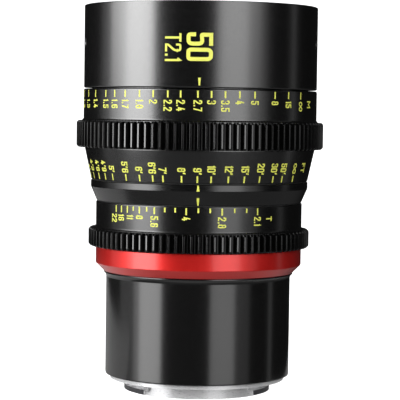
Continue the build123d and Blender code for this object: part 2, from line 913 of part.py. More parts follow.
def make_iris_rotor():
    """Slotted ring that swings all the blades together."""
    outer = diaphragm_bore_radius - fit_clearance
    face = Circle(outer) - Circle(rotor_bore_radius)
    slot = rotor_slot()
    for angle in spread(blade_count, iris_to_open):
        face -= Rot(0, 0, angle) * slot
    ear_length = fork_inner_radius - outer + rotor_ear_root
    ear = Pos(fork_inner_radius - ear_length / 2, 0) * Rectangle(ear_length, rotor_ear_width)
    face += Rot(0, 0, drive_angle) * ear
    return Pos(0, 0, rotor_z) * extrude(face, rotor_thickness)


def make_iris_retaining_ring():
    low = rotor_top_z + side_clearance
    return collar(iris_retainer_bore_radius, diaphragm_bore_radius, low, low + iris_retainer_thickness)


# Glass and its cells


def surface_edges(vertex_z, bulge, clear_radius, radius):
    """A lens surface's arc and its flat rim, from the axis to the edge of the glass."""
    middle = at(clear_radius / 2, vertex_z - surface_drop(bulge, clear_radius, clear_radius / 2))
    rim = at(clear_radius, vertex_z - bulge)
    edge = at(radius, vertex_z - bulge)
    edges = [ThreePointArc(at(0, vertex_z), middle, rim)]
    if clear_radius < radius:
        edges.append(Line(rim, edge))
    return edges, edge


def element(radius, front_z, front_bulge, rear_z, rear_bulge, front_clear=None, rear_clear=None):
    """A lens element; a clear radius below its edge radius leaves a flat rim there."""
    front_edges, front_edge = surface_edges(front_z, front_bulge, front_clear or radius, radius)
    rear_edges, rear_edge = surface_edges(rear_z, rear_bulge, rear_clear or radius, radius)
    sides = [Line(front_edge, rear_edge), Line(at(0, rear_z), at(0, front_z))]
    return revolve(make_face(front_edges + rear_edges + sides), Axis.Z)


def glass_bore(radius):
    """Radius of the light path past a seat that carries glass of a given radius."""
    return radius - seat_width


def make_front_cell():
    """Holds the glass ahead of the iris, and screws into the optics barrel."""
    bore = glass_bore(front_doublet_radius)
    first_seat = first_rear_z - front_element_rear_bulge
    second_seat = second_rear_z - second_element_rear_bulge
    doublet_seat = front_crown_z - surface_drop(front_crown_bulge, front_doublet_radius, bore)
    return turned(
        [
            (front_doublet_radius, front_cell_z),
            (front_cell_radius, front_cell_z),
            (front_cell_radius, optics_barrel_high),
            (front_cell_flange_radius, optics_barrel_high),
            (front_cell_flange_radius, front_cell_top_z - edge_chamfer),
            (front_cell_flange_radius - edge_chamfer, front_cell_top_z),
            (front_element_radius, front_cell_top_z),
            (front_element_radius, first_seat),
            (second_element_radius, first_seat),
            (second_element_radius, second_seat),
            (bore, second_seat),
            (bore, doublet_seat),
            (front_doublet_radius, doublet_seat),
        ]
    )


def make_front_retaining_ring():
    inner = glass_bore(front_element_radius)
    low = first_front_z - surface_drop(front_element_front_bulge, front_element_radius, inner)
    return collar(inner, front_element_radius, low, low + front_glass_ring_height)


def make_second_retaining_ring():
    inner = glass_bore(second_element_radius)
    low = second_front_z - surface_drop(second_element_front_bulge, second_element_radius, inner)
    return collar(inner, second_element_radius, low, low + glass_ring_height)


def make_front_doublet_ring():
    return collar(front_flint_clear_radius, front_doublet_radius, front_cell_z, front_flint_edge_z)


def make_rear_cell():
    """Holds the glass behind the iris."""
    doublet_bore = glass_bore(rear_doublet_radius)
    doublet_seat = rear_crown_z - surface_drop(rear_crown_bulge, rear_doublet_radius, doublet_bore)
    pair_bore = glass_bore(rear_pair_radius)
    pair_seat = seventh_front_z - surface_drop(seventh_element_front_bulge, rear_pair_radius, pair_bore)
    return turned(
        [
            (rear_pair_radius, rear_cell_nose_z),
            (rear_cell_nose_radius - edge_chamfer, rear_cell_nose_z),
            (rear_cell_nose_radius, rear_cell_nose_z + edge_chamfer),
            (rear_cell_nose_radius, optics_barrel_low),
            (rear_cell_radius, optics_barrel_low),
            (rear_cell_radius, ledge_z),
            (rear_doublet_radius, ledge_z),
            (rear_doublet_radius, doublet_seat),
            (doublet_bore, doublet_seat),
            (doublet_bore, pair_seat + seat_width),
            (pair_bore, pair_seat + seat_width),
            (pair_bore, pair_seat),
            (rear_pair_radius, pair_seat),
        ]
    )


def make_rear_doublet_ring():
    return collar(rear_flint_clear_radius, rear_doublet_radius, rear_flint_edge_z, ledge_z)


def make_rear_spacer():
    inner = glass_bore(rear_pair_radius)
    low = last_front_z - surface_drop(rear_element_front_bulge, rear_pair_radius, inner)
    high = seventh_rear_z - surface_drop(seventh_element_rear_bulge, rear_pair_radius, inner)
    return collar(inner, rear_pair_radius, low, high)


def make_rear_retaining_ring():
    inner = glass_bore(rear_pair_radius)
    high = last_rear_z - surface_drop(rear_element_rear_bulge, rear_pair_radius, inner)
    return collar(inner, rear_pair_radius, high - glass_ring_height, high)


def make_optics_barrel():
    """Sleeve that carries both cells and the diaphragm, and slides when the lens is focused."""
    barrel = turned(
        [
            (rear_cell_radius, optics_barrel_low),
            (optics_barrel_radius, optics_barrel_low),
            (optics_barrel_radius, optics_barrel_high),
            (front_cell_radius, optics_barrel_high),
            (front_cell_radius, front_cell_z),
            (diaphragm_bore_radius, front_cell_z),
            (diaphragm_bore_radius, base_plate_z),
            (ledge_bore_radius, base_plate_z),
            (ledge_bore_radius, ledge_z),
            (rear_cell_radius, ledge_z),
        ]
    )
    low = drive_pin_z - drive_pin_radius - travel_ahead - fork_end_margin - window_margin
    high = rotor_top_z + window_margin
    half_width = fork_width / 2 + window_margin
    inner = fork_inner_radius - window_margin
    outer = optics_bore_radius + overrun
    barrel -= swept_sector(inner, outer, low, high, half_width, inner)
    ear_inner = diaphragm_bore_radius - overrun
    barrel -= swept_sector(ear_inner, outer, rotor_z - window_margin, high, half_width, ear_inner)
    for screw in shoe_screws(optics_barrel_radius - shoe_screw_depth, optics_bore_radius + overrun):
        barrel -= screw
    return barrel


# Rear tube and bayonet


def tube_screw_shanks(radius):
    """Shanks through the tube's shelf and into the main barrel's floor."""
    low = tube_top_z - tube_shelf_thickness
    shank = disc(radius, low, tube_top_z + tube_screw_depth)
    angles = spread(tube_screw_count)
    return [Pos(on_circle(tube_screw_circle_radius, angle)) * shank for angle in angles]


def make_tube_screws():
    high = tube_top_z - tube_shelf_thickness
    head = disc(tube_screw_head_radius, high - tube_screw_head_height, high)
    heads = [Pos(on_circle(tube_screw_circle_radius, angle)) * head for angle in spread(tube_screw_count)]
    return group(shank + cap for shank, cap in zip(tube_screw_shanks(tube_screw_radius), heads))


def mount_screw_places():
    angles = spread(mount_screw_count, 180 / mount_screw_count)
    return [Pos(on_circle(mount_screw_circle_radius, angle)) for angle in angles]


def mount_screw(low=mount_screw_head_recess):
    """Countersunk screw, or its hole when it starts at the flange face."""
    rim_end = mount_screw_head_recess + mount_screw_rim_height
    head_end = rim_end + mount_screw_head_radius - mount_screw_radius
    end = tube_z + mount_screw_depth
    return turned(
        [
            (0, low),
            (mount_screw_head_radius, low),
            (mount_screw_head_radius, rim_end),
            (mount_screw_radius, head_end),
            (mount_screw_radius, end),
            (0, end),
        ]
    )


def make_rear_tube():
    shelf_z = tube_top_z - tube_shelf_thickness
    floor_z = tube_z + tube_floor_thickness
    collar_z = tube_top_z - tube_collar_height
    tube = turned(
        [
            (tube_floor_bore_radius, tube_z),
            (tube_radius - edge_chamfer, tube_z),
            (tube_radius, tube_z + edge_chamfer),
            (tube_radius, collar_z - tube_collar_radius + tube_radius),
            (tube_collar_radius, collar_z),
            (tube_collar_radius, tube_top_z),
            (barrel_floor_bore_radius, tube_top_z),
            (barrel_floor_bore_radius, shelf_z),
            (tube_bore_radius, shelf_z),
            (tube_bore_radius, floor_z),
            (tube_floor_bore_radius, floor_z),
        ]
    )
    for screw in tube_screw_shanks(tube_screw_radius):
        tube -= screw
    for place in mount_screw_places():
        tube -= place * mount_screw()
    return tube


def make_rear_light_baffle():
    """Mask with a picture-shaped opening, inside the tube's floor."""
    low = tube_z + tube_floor_thickness
    opening = RectangleRounded(rear_mask_width, rear_mask_height, rear_mask_corner)
    return Pos(0, 0, low) * extrude(Circle(tube_bore_radius) - opening, rear_mask_thickness)


def make_mount_shim():
    shim = collar(tube_floor_bore_radius, tube_bore_radius, shim_z, tube_z)
    for place in mount_screw_places():
        shim -= place * mount_screw()
    return shim


def make_bayonet_mount():
    """Flange, spigot and three lugs, in one piece."""
    mount = turned(
        [
            (spigot_bore_radius, -spigot_length),
            (spigot_radius, -spigot_length),
            (spigot_radius, 0),
            (flange_radius, 0),
            (flange_radius, flange_thickness),
            (spigot_bore_radius, flange_thickness),
        ]
    )
    lug_inner = (spigot_bore_radius + spigot_radius) / 2
    lug_low = lug_rise - spigot_length
    lug_top = lug_low + lug_thickness
    for angle in lug_angles:
        mount += sector(lug_inner, lug_radius, lug_low, lug_top, angle, lug_span)
    stop_top = lug_top + lug_stop_height
    mount += sector(lug_inner, lug_stop_radius, lug_top, stop_top, lug_stop_angle, lug_stop_span)
    for place in mount_screw_places():
        mount -= place * mount_screw(0)
    hole = disc(lock_hole_radius, 0, flange_thickness)
    mount -= Pos(on_circle(mount_screw_circle_radius, lock_hole_angle)) * hole
    return mount - mount_stop_screw_body()


def mount_stop_screw_body():
    inner = spigot_radius - stop_screw_inset
    outer = spigot_radius + stop_screw_proud
    return radial_pin(stop_screw_radius, inner, outer, -stop_screw_drop, stop_screw_angle)


def save(name, shape):
    export_step(shape, f"parts/{name}.step")


os.makedirs("parts", exist_ok=True)

save("main_barrel", make_main_barrel())
save("front_barrel", make_front_barrel())
save("barrel_grub_screws", make_barrel_grub_screws())
save("front_baffle_ring", make_front_baffle_ring())
save("focus_retaining_ring", make_focus_retaining_ring())
save("focus_thrust_washers", make_focus_thrust_washers())
save("focus_stop_block", make_focus_stop_block())
save("index_ring", make_index_ring())
save("iris_thrust_washers", make_iris_thrust_washers())
save("red_ring", make_red_ring())
save("rear_tube", make_rear_tube())
save("tube_screws", make_tube_screws())
save("rear_light_baffle", make_rear_light_baffle())
save("mount_shim", make_mount_shim())
save("bayonet_mount", make_bayonet_mount())
save("mount_screws", group(place * mount_screw() for place in mount_screw_places()))
save("mount_stop_screw", mount_stop_screw_body())

save("focus_ring", make_focus_ring())
save("helicoid_ring", make_helicoid_ring())
save("focus_bearing_ring", make_focus_bearing_ring())
save("focus_stop_pin", focus_stop_pin_body())

save("iris_ring", make_iris_ring())
save("iris_drive_pin", drive_pin_body())
save("iris_rotor", make_iris_rotor())
save("iris_fork", make_iris_fork())
for number, blade in enumerate(make_iris_blades(), start=1):
    save(f"iris_blade_{number:02d}", blade)

save("optics_barrel", make_optics_barrel())
save("helicoid_shoes", make_helicoid_shoes())
save("shoe_screws", make_shoe_screws())
save("iris_base_plate", make_iris_base_plate())
save("iris_retaining_ring", make_iris_retaining_ring())
save("front_cell", make_front_cell())
save("front_retaining_ring", make_front_retaining_ring())
save("second_retaining_ring", make_second_retaining_ring())
save("front_doublet_ring", make_front_doublet_ring())
save("rear_cell", make_rear_cell())
save("rear_doublet_ring", make_rear_doublet_ring())
save("rear_spacer", make_rear_spacer())
save("rear_retaining_ring", make_rear_retaining_ring())

save(
    "front_element",
    element(
        front_element_radius,
        first_front_z,
        front_element_front_bulge,
        first_rear_z,
        front_element_rear_bulge,
    ),
)
save(
    "second_element",
    element(
        second_element_radius,
        second_front_z,
        second_element_front_bulge,
        second_rear_z,
        second_element_rear_bulge,
    ),
)
save(
    "front_doublet_crown",
    element(front_doublet_radius, front_crown_z, front_crown_bulge, front_cement_z, front_cement_bulge),
)
save(
    "front_doublet_flint",
    element(
        front_doublet_radius,
        front_cement_z,
        front_cement_bulge,
        front_flint_z,
        front_flint_bulge,
        rear_clear=front_flint_clear_radius,
    ),
)
save(
    "rear_doublet_flint",
    element(
        rear_doublet_radius,
        rear_flint_z,
        rear_flint_bulge,
        rear_cement_z,
        rear_cement_bulge,
        front_clear=rear_flint_clear_radius,
    ),
)
save(
    "rear_doublet_crown",
    element(rear_doublet_radius, rear_cement_z, rear_cement_bulge, rear_crown_z, rear_crown_bulge),
)
save(
    "seventh_element",
    element(
        rear_pair_radius,
        seventh_front_z,
        seventh_element_front_bulge,
        seventh_rear_z,
        seventh_element_rear_bulge,
    ),
)
save(
    "rear_element",
    element(
        rear_pair_radius,
        last_front_z,
        rear_element_front_bulge,
        last_rear_z,
        rear_element_rear_bulge,
    ),
)
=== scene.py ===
# %% [markdown]
# # A cinema prime lens, dressed around its CAD frame
#
# A cinema lens is a stack of turned rings on one axis. Two of them turn: the focus ring and the
# iris ring, each with a toothed rim for a motor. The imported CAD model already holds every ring,
# the glass and the diaphragm, so this notebook adds what a lathe, an engraver, a painter and a
# plating bath would add. The scene is in metres, with +Z along the optical axis, and 0 at the
# flange face. Profiles and marks are listed in millimetres.

# %% Load the frame
import json
from math import acos, cos, degrees, hypot, pi, radians, sin, tan

import bmesh
import bpy
from mathutils import Matrix, Vector


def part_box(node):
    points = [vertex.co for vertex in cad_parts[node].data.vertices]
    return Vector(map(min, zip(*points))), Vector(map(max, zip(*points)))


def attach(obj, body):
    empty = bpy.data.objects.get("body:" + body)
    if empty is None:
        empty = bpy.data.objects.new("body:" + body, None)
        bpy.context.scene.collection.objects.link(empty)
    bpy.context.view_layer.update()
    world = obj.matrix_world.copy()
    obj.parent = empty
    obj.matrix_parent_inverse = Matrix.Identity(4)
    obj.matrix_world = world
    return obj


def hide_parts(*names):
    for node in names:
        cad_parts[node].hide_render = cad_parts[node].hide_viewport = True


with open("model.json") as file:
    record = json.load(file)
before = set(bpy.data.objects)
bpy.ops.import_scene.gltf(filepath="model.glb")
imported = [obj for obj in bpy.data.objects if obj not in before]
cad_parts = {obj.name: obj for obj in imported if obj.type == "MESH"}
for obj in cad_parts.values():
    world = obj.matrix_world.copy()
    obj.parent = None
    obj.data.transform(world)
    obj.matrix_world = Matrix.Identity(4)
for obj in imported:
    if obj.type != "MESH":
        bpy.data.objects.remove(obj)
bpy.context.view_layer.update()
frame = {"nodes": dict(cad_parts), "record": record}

nodes = frame["nodes"]
MM = 0.001

# %% [markdown]
# ## The camera
#
# The photograph is taken from far away with a long lens, almost level with the middle of the
# object. The rims are thin ellipses, seen from slightly above, and their height gives the tilt.
# The whole object leans a little clockwise, so the camera is rolled the other way.

# %% Place the camera
CAMERA_DISTANCE = 617.5 * MM
CAMERA_HEIGHT = 92.95 * MM
CAMERA_SIDE = 0.35 * MM
CAMERA_TILT = radians(2.931)
CAMERA_ROLL = radians(0.764)
CAMERA_TURN = radians(0.5)
FOCAL_LENGTH = 161.14
SENSOR = 36.0
NEAREST, FARTHEST = 0.01, 50.0


def new_object(name, data):
    item = bpy.data.objects.new(name, data)
    bpy.context.scene.collection.objects.link(item)
    return item


camera_data = bpy.data.cameras.new("camera")
camera_data.lens = FOCAL_LENGTH
camera_data.sensor_width = SENSOR
camera_data.clip_start, camera_data.clip_end = NEAREST, FARTHEST
camera = new_object("camera", camera_data)
place = Matrix.Translation((CAMERA_SIDE, -CAMERA_DISTANCE, CAMERA_HEIGHT))
tilt = Matrix.Rotation(pi / 2 - CAMERA_TILT, 4, "X")
roll = Matrix.Rotation(CAMERA_ROLL, 4, "Z")
camera.matrix_world = Matrix.Rotation(CAMERA_TURN, 4, "Z") @ place @ tilt @ roll
bpy.context.scene.camera = camera
print("camera at", [round(v, 4) for v in camera.matrix_world.translation])

# %% [markdown]
# ## Small helpers for nodes
#
# Every finish is a Principled shader with a few procedural nodes in front of it. What is the
# same all over a surface is set on the shader's own sockets. Only what changes from place to
# place, such as grain, fine turning marks and rubbed walls, goes through nodes.

# %% Helpers for nodes


def shader_of(made):
    return made.node_tree.nodes["Principled BSDF"]


def principled(name, colour, metallic, roughness, **sockets):
    """A new material; further sockets are given by their names in lower case."""
    made = bpy.data.materials.new(name)
    made.use_nodes = True
    inputs = shader_of(made).inputs
    inputs["Base Color"].default_value = (*colour, 1)
    inputs["Metallic"].default_value = metallic
    inputs["Roughness"].default_value = roughness
    for label, value in sockets.items():
        inputs[label.replace("_", " ").title().replace("Ior", "IOR")].default_value = value
    return made


def new_node(made, kind, **settings):
    """A node with values on its sockets, or else on its own properties."""
    node = made.node_tree.nodes.new(kind)
    for label, value in settings.items():
        if label in node.inputs:
            node.inputs[label].default_value = value
        else:
            setattr(node, label, value)
    return node


def map_range(made, span, outcome):
    node = new_node(made, "ShaderNodeMapRange")
    labels = ("From Min", "From Max", "To Min", "To Max")
    for label, value in zip(labels, (*span, *outcome)):
        node.inputs[label].default_value = value
    return node


def wire(made, out_socket, in_socket):
    made.node_tree.links.new(out_socket, in_socket)

# %% [markdown]
# A noise much finer than the part reads as grain. Squeezed along the axis, it runs round a ring
# like turning marks. One noise moves three things together, as on a real surface: the roughness,
# a very shallow relief and the tone.

# %% Grain, bump and tint
NOISE_DETAIL = 4.0
NOISE_SPAN = (0.3, 0.7)
TINT_SPAN = (0.35, 0.65)
finishes = {}


def add_grain(made, scale, low, high, stretch=(1, 1, 1)):
    """Roughness that wanders between two values, like a blasted or brushed skin."""
    where = new_node(made, "ShaderNodeTexCoord")
    squeeze = new_node(made, "ShaderNodeMapping", Scale=stretch)
    noise = new_node(made, "ShaderNodeTexNoise", Scale=scale, Detail=NOISE_DETAIL)
    spread = map_range(made, NOISE_SPAN, (low, high))
    wire(made, where.outputs["Object"], squeeze.inputs["Vector"])
    wire(made, squeeze.outputs["Vector"], noise.inputs["Vector"])
    wire(made, noise.outputs["Fac"], spread.inputs["Value"])
    wire(made, spread.outputs["Result"], shader_of(made).inputs["Roughness"])
    return noise


def add_bump(made, noise, strength, distance):
    bump = new_node(made, "ShaderNodeBump", Strength=strength, Distance=distance)
    wire(made, noise.outputs["Fac"], bump.inputs["Height"])
    wire(made, bump.outputs["Normal"], shader_of(made).inputs["Normal"])


def add_tint(made, noise, dark, light):
    """Colour that drifts between two close tones."""
    ramp = new_node(made, "ShaderNodeValToRGB")
    for mark, stop, tone in zip(ramp.color_ramp.elements, TINT_SPAN, (dark, light)):
        mark.position, mark.color = stop, (*tone, 1)
    wire(made, noise.outputs["Fac"], ramp.inputs["Fac"])
    wire(made, ramp.outputs["Color"], shader_of(made).inputs["Base Color"])


def add_finish(
    name, colour, metallic, roughness, tones, grain, swing, relief, squeeze=1, **sockets
):
    """A finish with grain; relief is its strength and its depth in millimetres."""
    made = principled(name, colour, metallic, roughness, **sockets)
    noise = add_grain(made, grain, *swing, (1, 1, squeeze))
    add_bump(made, noise, relief[0], relief[1] * MM)
    add_tint(made, noise, *tones)
    finishes[name] = made


def grey(level):
    return (level, level, level)

# %% [markdown]
# ## The finishes
#
# Black anodising is a thin dyed oxide on aluminium: very dark, a little rough, with a broad soft
# highlight that keeps the grey of metal. So its own colour is almost black, and its index of
# refraction is high. The index ring and the iris band shine less, and the cut flanks of the teeth
# least. The rear tube is polished before it is dyed, so its highlights have crisp edges. The red
# dye lies on bright metal, so it is mostly metallic, and a clear coat keeps its highlights pale.

# %% Black and red anodising
add_finish(
    "black_anodised", grey(0.0015), 0.0, 0.23, (grey(0.001), grey(0.002)),
    1500.0, (0.20, 0.26), (0.12, 0.03), ior=2.3,
)
add_finish(
    "ring_black", grey(0.0025), 0.0, 0.24, (grey(0.002), grey(0.003)),
    1500.0, (0.21, 0.27), (0.12, 0.03), ior=1.9,
)
add_finish(
    "gloss_black", grey(0.006), 0.0, 0.18, (grey(0.005), grey(0.007)),
    500.0, (0.16, 0.20), (0.05, 0.02), squeeze=6, ior=1.86,
)
add_finish(
    "tooth_black", grey(0.0015), 0.0, 0.3, (grey(0.001), grey(0.002)),
    1400.0, (0.26, 0.34), (0.08, 0.02), ior=1.45,
)
add_finish(
    "flat_black", grey(0.008), 0.0, 0.62, (grey(0.006), grey(0.011)),
    1600.0, (0.55, 0.72), (0.25, 0.05),
)
add_finish(
    "red_anodised", (0.97, 0.02, 0.016), 0.7, 0.40, ((0.95, 0.018, 0.014), (0.99, 0.023, 0.018)),
    900.0, (0.37, 0.43), (0.06, 0.02), squeeze=8, coat_weight=1.0, coat_roughness=0.2,
    coat_ior=1.7,
)
print("anodised finishes", len(finishes))

# %% [markdown]
# The flange is satin chrome, and the small screws are steel. Most other metals are hidden
# inside. The paint in the scales is nearly matt.

# %% Bare metals, washers and paint
add_finish(
    "chrome", (0.90, 0.90, 0.91), 0.4, 0.3, ((0.88, 0.88, 0.89), (0.92, 0.92, 0.93)),
    700.0, (0.26, 0.34), (0.04, 0.02), squeeze=12,
)
add_finish(
    "steel", (0.62, 0.62, 0.63), 1.0, 0.25, ((0.55, 0.55, 0.56), (0.68, 0.68, 0.69)),
    1500.0, (0.20, 0.34), (0.10, 0.02),
)
add_finish(
    "brass", (0.78, 0.56, 0.25), 1.0, 0.28, ((0.70, 0.49, 0.20), (0.83, 0.61, 0.29)),
    1100.0, (0.22, 0.36), (0.10, 0.02), squeeze=14,
)
# Nearly black washer stock; in the gaps between the rings this colour is also painted shade.
add_finish(
    "polymer", grey(0.03), 0.0, 0.5, (grey(0.025), grey(0.036)),
    800.0, (0.45, 0.58), (0.10, 0.03),
)
add_finish(
    "blade_steel", (0.028, 0.028, 0.030), 0.35, 0.42,
    ((0.022, 0.022, 0.024), (0.035, 0.035, 0.037)), 2000.0, (0.36, 0.50), (0.08, 0.01),
)
add_finish(
    "scale_paint", (0.91, 0.93, 0.15), 0.0, 0.45, ((0.89, 0.91, 0.14), (0.93, 0.95, 0.16)),
    2600.0, (0.40, 0.52), (0.15, 0.02),
)
print("finishes", len(finishes))

# %% [markdown]
# Painted shade: the walls of the lugs are coloured darker and barer, for the shadowed floor that
# they mirror near the ground. The lugs are one solid with the flange, so the chrome needs a mask:
# they are all that stands out beyond the spigot below the flange.

# %% Paint shade on the lugs
LUG_WALL = 24.95 * MM
LUG_TOP = -0.2 * MM
# the colour of the painted shade on the lug walls
LUG_SHADE = (0.14, 0.14, 0.15)
COLOUR_A, COLOUR_B, COLOUR_OUT = 6, 7, 2


def passes(made, operation, limit, value):
    """A socket that is 1 where a value passes a limit, and 0 elsewhere."""
    test = new_node(made, "ShaderNodeMath", operation=operation)
    test.inputs[1].default_value = limit
    wire(made, value, test.inputs[0])
    return test.outputs["Value"]


def paint_lug_shade(made):
    """Painted shade: darker, barer metal beyond the spigot, below the flange."""
    where = new_node(made, "ShaderNodeTexCoord")
    parts = new_node(made, "ShaderNodeSeparateXYZ")
    level = new_node(made, "ShaderNodeVectorMath", operation="MULTIPLY")
    level.inputs[1].default_value = (1, 1, 0)
    reach = new_node(made, "ShaderNodeVectorMath", operation="LENGTH")
    wire(made, where.outputs["Object"], parts.inputs["Vector"])
    wire(made, where.outputs["Object"], level.inputs[0])
    wire(made, level.outputs["Vector"], reach.inputs[0])
    mask = new_node(made, "ShaderNodeMath", operation="MULTIPLY")
    wire(made, passes(made, "GREATER_THAN", LUG_WALL, reach.outputs["Value"]), mask.inputs[0])
    wire(made, passes(made, "LESS_THAN", LUG_TOP, parts.outputs["Z"]), mask.inputs[1])
    inputs = shader_of(made).inputs
    blend = new_node(made, "ShaderNodeMix", data_type="RGBA")
    wire(made, mask.outputs["Value"], blend.inputs["Factor"])
    wire(made, inputs["Base Color"].links[0].from_socket, blend.inputs[COLOUR_A])
    blend.inputs[COLOUR_B].default_value = (*LUG_SHADE, 1)
    wire(made, blend.outputs[COLOUR_OUT], inputs["Base Color"])
    metal = map_range(made, (0, 1), (inputs["Metallic"].default_value, 1))
    wire(made, mask.outputs["Value"], metal.inputs["Value"])
    wire(made, metal.outputs["Result"], inputs["Metallic"])


# painted shade on the chrome's lug walls
paint_lug_shade(finishes["chrome"])
print("lugs shade_painted beyond", LUG_WALL)

# %% [markdown]
# ## Glass with a coating
#
# Lens glass is clear, so what a viewer sees is the coating: a faint green, violet or amber
# reflection. A coloured specular tint does it, and each element gets a slightly different one.

# %% Glass
CLEAR = (0.97, 0.985, 0.98)
COATINGS = {
    "front_element": (0.45, 0.95, 0.62), "second_element": (0.80, 0.55, 0.98),
    "front_doublet_crown": (0.98, 0.70, 0.45), "front_doublet_flint": (0.70, 0.85, 0.98),
    "rear_doublet_flint": (0.55, 0.75, 1.00), "rear_doublet_crown": (0.95, 0.60, 0.80),
    "seventh_element": (0.60, 0.95, 0.75), "rear_element": (0.75, 0.60, 0.98),
}


def coated_glass(name, tint):
    """Clear glass whose reflection carries the coating's colour."""
    made = principled(
        name + "_glass", CLEAR, metallic=0.0, roughness=0.02, ior=1.6,
        transmission_weight=1.0, specular_tint=(*tint, 1),
    )
    add_grain(made, scale=300.0, low=0.012, high=0.03)
    return made


glass = {name: coated_glass(name, tint) for name, tint in COATINGS.items()}
print("coated elements", len(glass))

# %% [markdown]
# ## Finishing the frame
#
# Each CAD node keeps its shape unless a finer piece replaces it. First every node gets the finish
# of its slot, so that nothing inside the lens is left with a flat colour.

# %% Give every CAD node its finish


def wear(item, finish):
    """Puts one finish on every face of an object."""
    item.data.materials.clear()
    item.data.materials.append(finish)


slot_of = {row["node"]: row["material_slot"] for row in frame["record"]["subparts"]}
for name, item in nodes.items():
    wear(item, glass[name] if name in glass else finishes[slot_of[name]])
print("finished", len(slot_of), "nodes")

# %% [markdown]
# ## Turning rings
#
# A lathe makes every ring, so the natural tool is a profile spun round the axis. Small chamfers
# are part of each profile, because a real edge is never perfectly sharp and it is that edge which
# catches the light. The spin has 256 steps, so the outline stays round. Smooth shading would
# bend the light on a long face beside a chamfer, so two corners are added near its ends.

# %% The lathe
TURN_STEPS = 256
LONG_SIDE = 1.2
HOLD = 0.06


def held(profile, close):
    """Extra corners just inside both ends of each long side, so its shading stays flat."""
    corners = []
    ends = profile[1:] + profile[:1] if close else profile[1:]
    for start, end in zip(profile, ends):
        corners.append(start)
        out, up = end[0] - start[0], end[1] - start[1]
        length = hypot(out, up)
        if length > LONG_SIDE:
            for share in (HOLD / length, 1 - HOLD / length):
                corners.append((start[0] + out * share, start[1] + up * share))
    return corners if close else corners + profile[-1:]


def vertex_at(grid, radius, turn, height):
    """A vertex at a radius, an angle and a height; both lengths are in millimetres."""
    return grid.verts.new((radius * MM * cos(turn), radius * MM * sin(turn), height * MM))


def bridge(grid, loops, close):
    """Faces between each loop of vertices and the next, and back to the first if it closes."""
    total = len(loops[0])
    for low, high in zip(loops, loops[1:] + loops[:1] if close else loops[1:]):
        for step in range(total):
            after = (step + 1) % total
            grid.faces.new((low[step], low[after], high[after], high[step]))


def mesh_from(grid, name):
    """A mesh from an editable grid, with all its faces turned outwards."""
    bmesh.ops.recalc_face_normals(grid, faces=grid.faces)
    mesh = bpy.data.meshes.new(name)
    grid.to_mesh(mesh)
    grid.free()
    return mesh

# %% [markdown]
# Faces that meet at a shallow angle share their shading, and sharper edges stay crisp. Each piece
# is then hung on the body that carries it, wears the finish of its slot and hides the CAD nodes
# that it stands for.

# %% Spin, link and fit out
SHARP_EDGE = radians(28)


def smooth(mesh, sharp):
    mesh.polygons.foreach_set("use_smooth", [True] * len(mesh.polygons))
    mesh.set_sharp_from_angle(angle=sharp)


def link_mesh(grid, name, sharp=SHARP_EDGE):
    """A piece from an editable grid, smooth except at its sharp edges."""
    mesh = mesh_from(grid, name)
    smooth(mesh, sharp)
    return new_object(name, mesh)


def spun(name, profile, close=True, steps=TURN_STEPS):
    """A piece spun from (radius, height) corners in millimetres, listed counter-clockwise."""
    grid = bmesh.new()
    turns = [2 * pi * step / steps for step in range(steps)]
    profile = held(profile, close)
    loops = [[vertex_at(grid, out, turn, up) for turn in turns] for out, up in profile]
    bridge(grid, loops, close)
    return link_mesh(grid, name)


def fit_out(piece, body, *replaced, slot="black_anodised", finish=None):
    """Body, slot, the nodes that a piece stands for, and a finish if not the slot's own."""
    wear(piece, finishes[finish or slot])
    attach(piece, body)
    if replaced:
        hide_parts(*replaced)

# %% [markdown]
# ## Front barrel
#
# The front barrel is the plain black drum at the top. Its mouth has the filter thread, a fine
# spiral of 0.75 mm pitch. Seen from outside only its shadowed crests show, so it is made as a
# real saw-tooth profile in the spin. Below it a ledge narrows the mouth.

# %% Spin the front barrel


def ends_of(node):
    """The lower and upper end of a CAD node in millimetres."""
    return (corner.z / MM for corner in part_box(node))


front_low, front_high = ends_of("front_barrel")
FRONT_RADIUS = 40.0
RECESS_RADIUS = 37.4
RECESS_TOP = front_low + 2.4
BORE_RADIUS = 34.25
LEDGE_RADIUS = 31.5
LEDGE_LOW, LEDGE_TOP = front_high - 10.1, front_high - 8.6
MOUTH_RADIUS = 36.8
THREAD_PITCH = 0.75
THREAD_DEPTH = 0.42
THREAD_LOW, THREAD_TOP = front_high - 5.0, front_high - 0.9
FILTER_RADIUS = 38.1


def thread_profile(radius, low, high, depth):
    """Corners of a thread on an inner wall, from its top down."""
    corners = []
    height = high
    while height - THREAD_PITCH > low:
        corners += [(radius, height), (radius + depth, height - THREAD_PITCH / 2)]
        height -= THREAD_PITCH
    return corners + [(radius, height)]


barrel_profile = [
    (RECESS_RADIUS, front_low), (39.5, front_low), (39.86, front_low + 0.14),
    (FRONT_RADIUS, front_low + 0.4), (FRONT_RADIUS, front_high - 0.35), (39.9, front_high - 0.1),
    (39.65, front_high), (39.0, front_high), (38.8, front_high - 0.12), (38.62, front_high - 0.45),
    *thread_profile(FILTER_RADIUS, THREAD_LOW, THREAD_TOP, THREAD_DEPTH),
    (MOUTH_RADIUS, THREAD_LOW), (MOUTH_RADIUS, LEDGE_TOP), (LEDGE_RADIUS, LEDGE_TOP),
    (LEDGE_RADIUS, LEDGE_LOW), (BORE_RADIUS, LEDGE_LOW), (BORE_RADIUS, RECESS_TOP),
    (RECESS_RADIUS, RECESS_TOP),
]
front_barrel = spun("front_barrel_turned", barrel_profile)
print("front barrel", round(front_high - front_low, 2), "mm long")

# %% [markdown]
# Three set screws hold the barrel, in plain round holes. A few cutters and one exact boolean
# difference, applied at once, leave a clean mesh.

# %% Drill the set screw holes
GRUB_ANGLES = (-168.0, -12.0, 90.0)
GRUB_HEIGHT = front_high - 12.9
GRUB_HOLE = 1.5
DRILL_START = 38.5
DRILL_REACH = (-4, 2)
DRILL_SIDES = 40


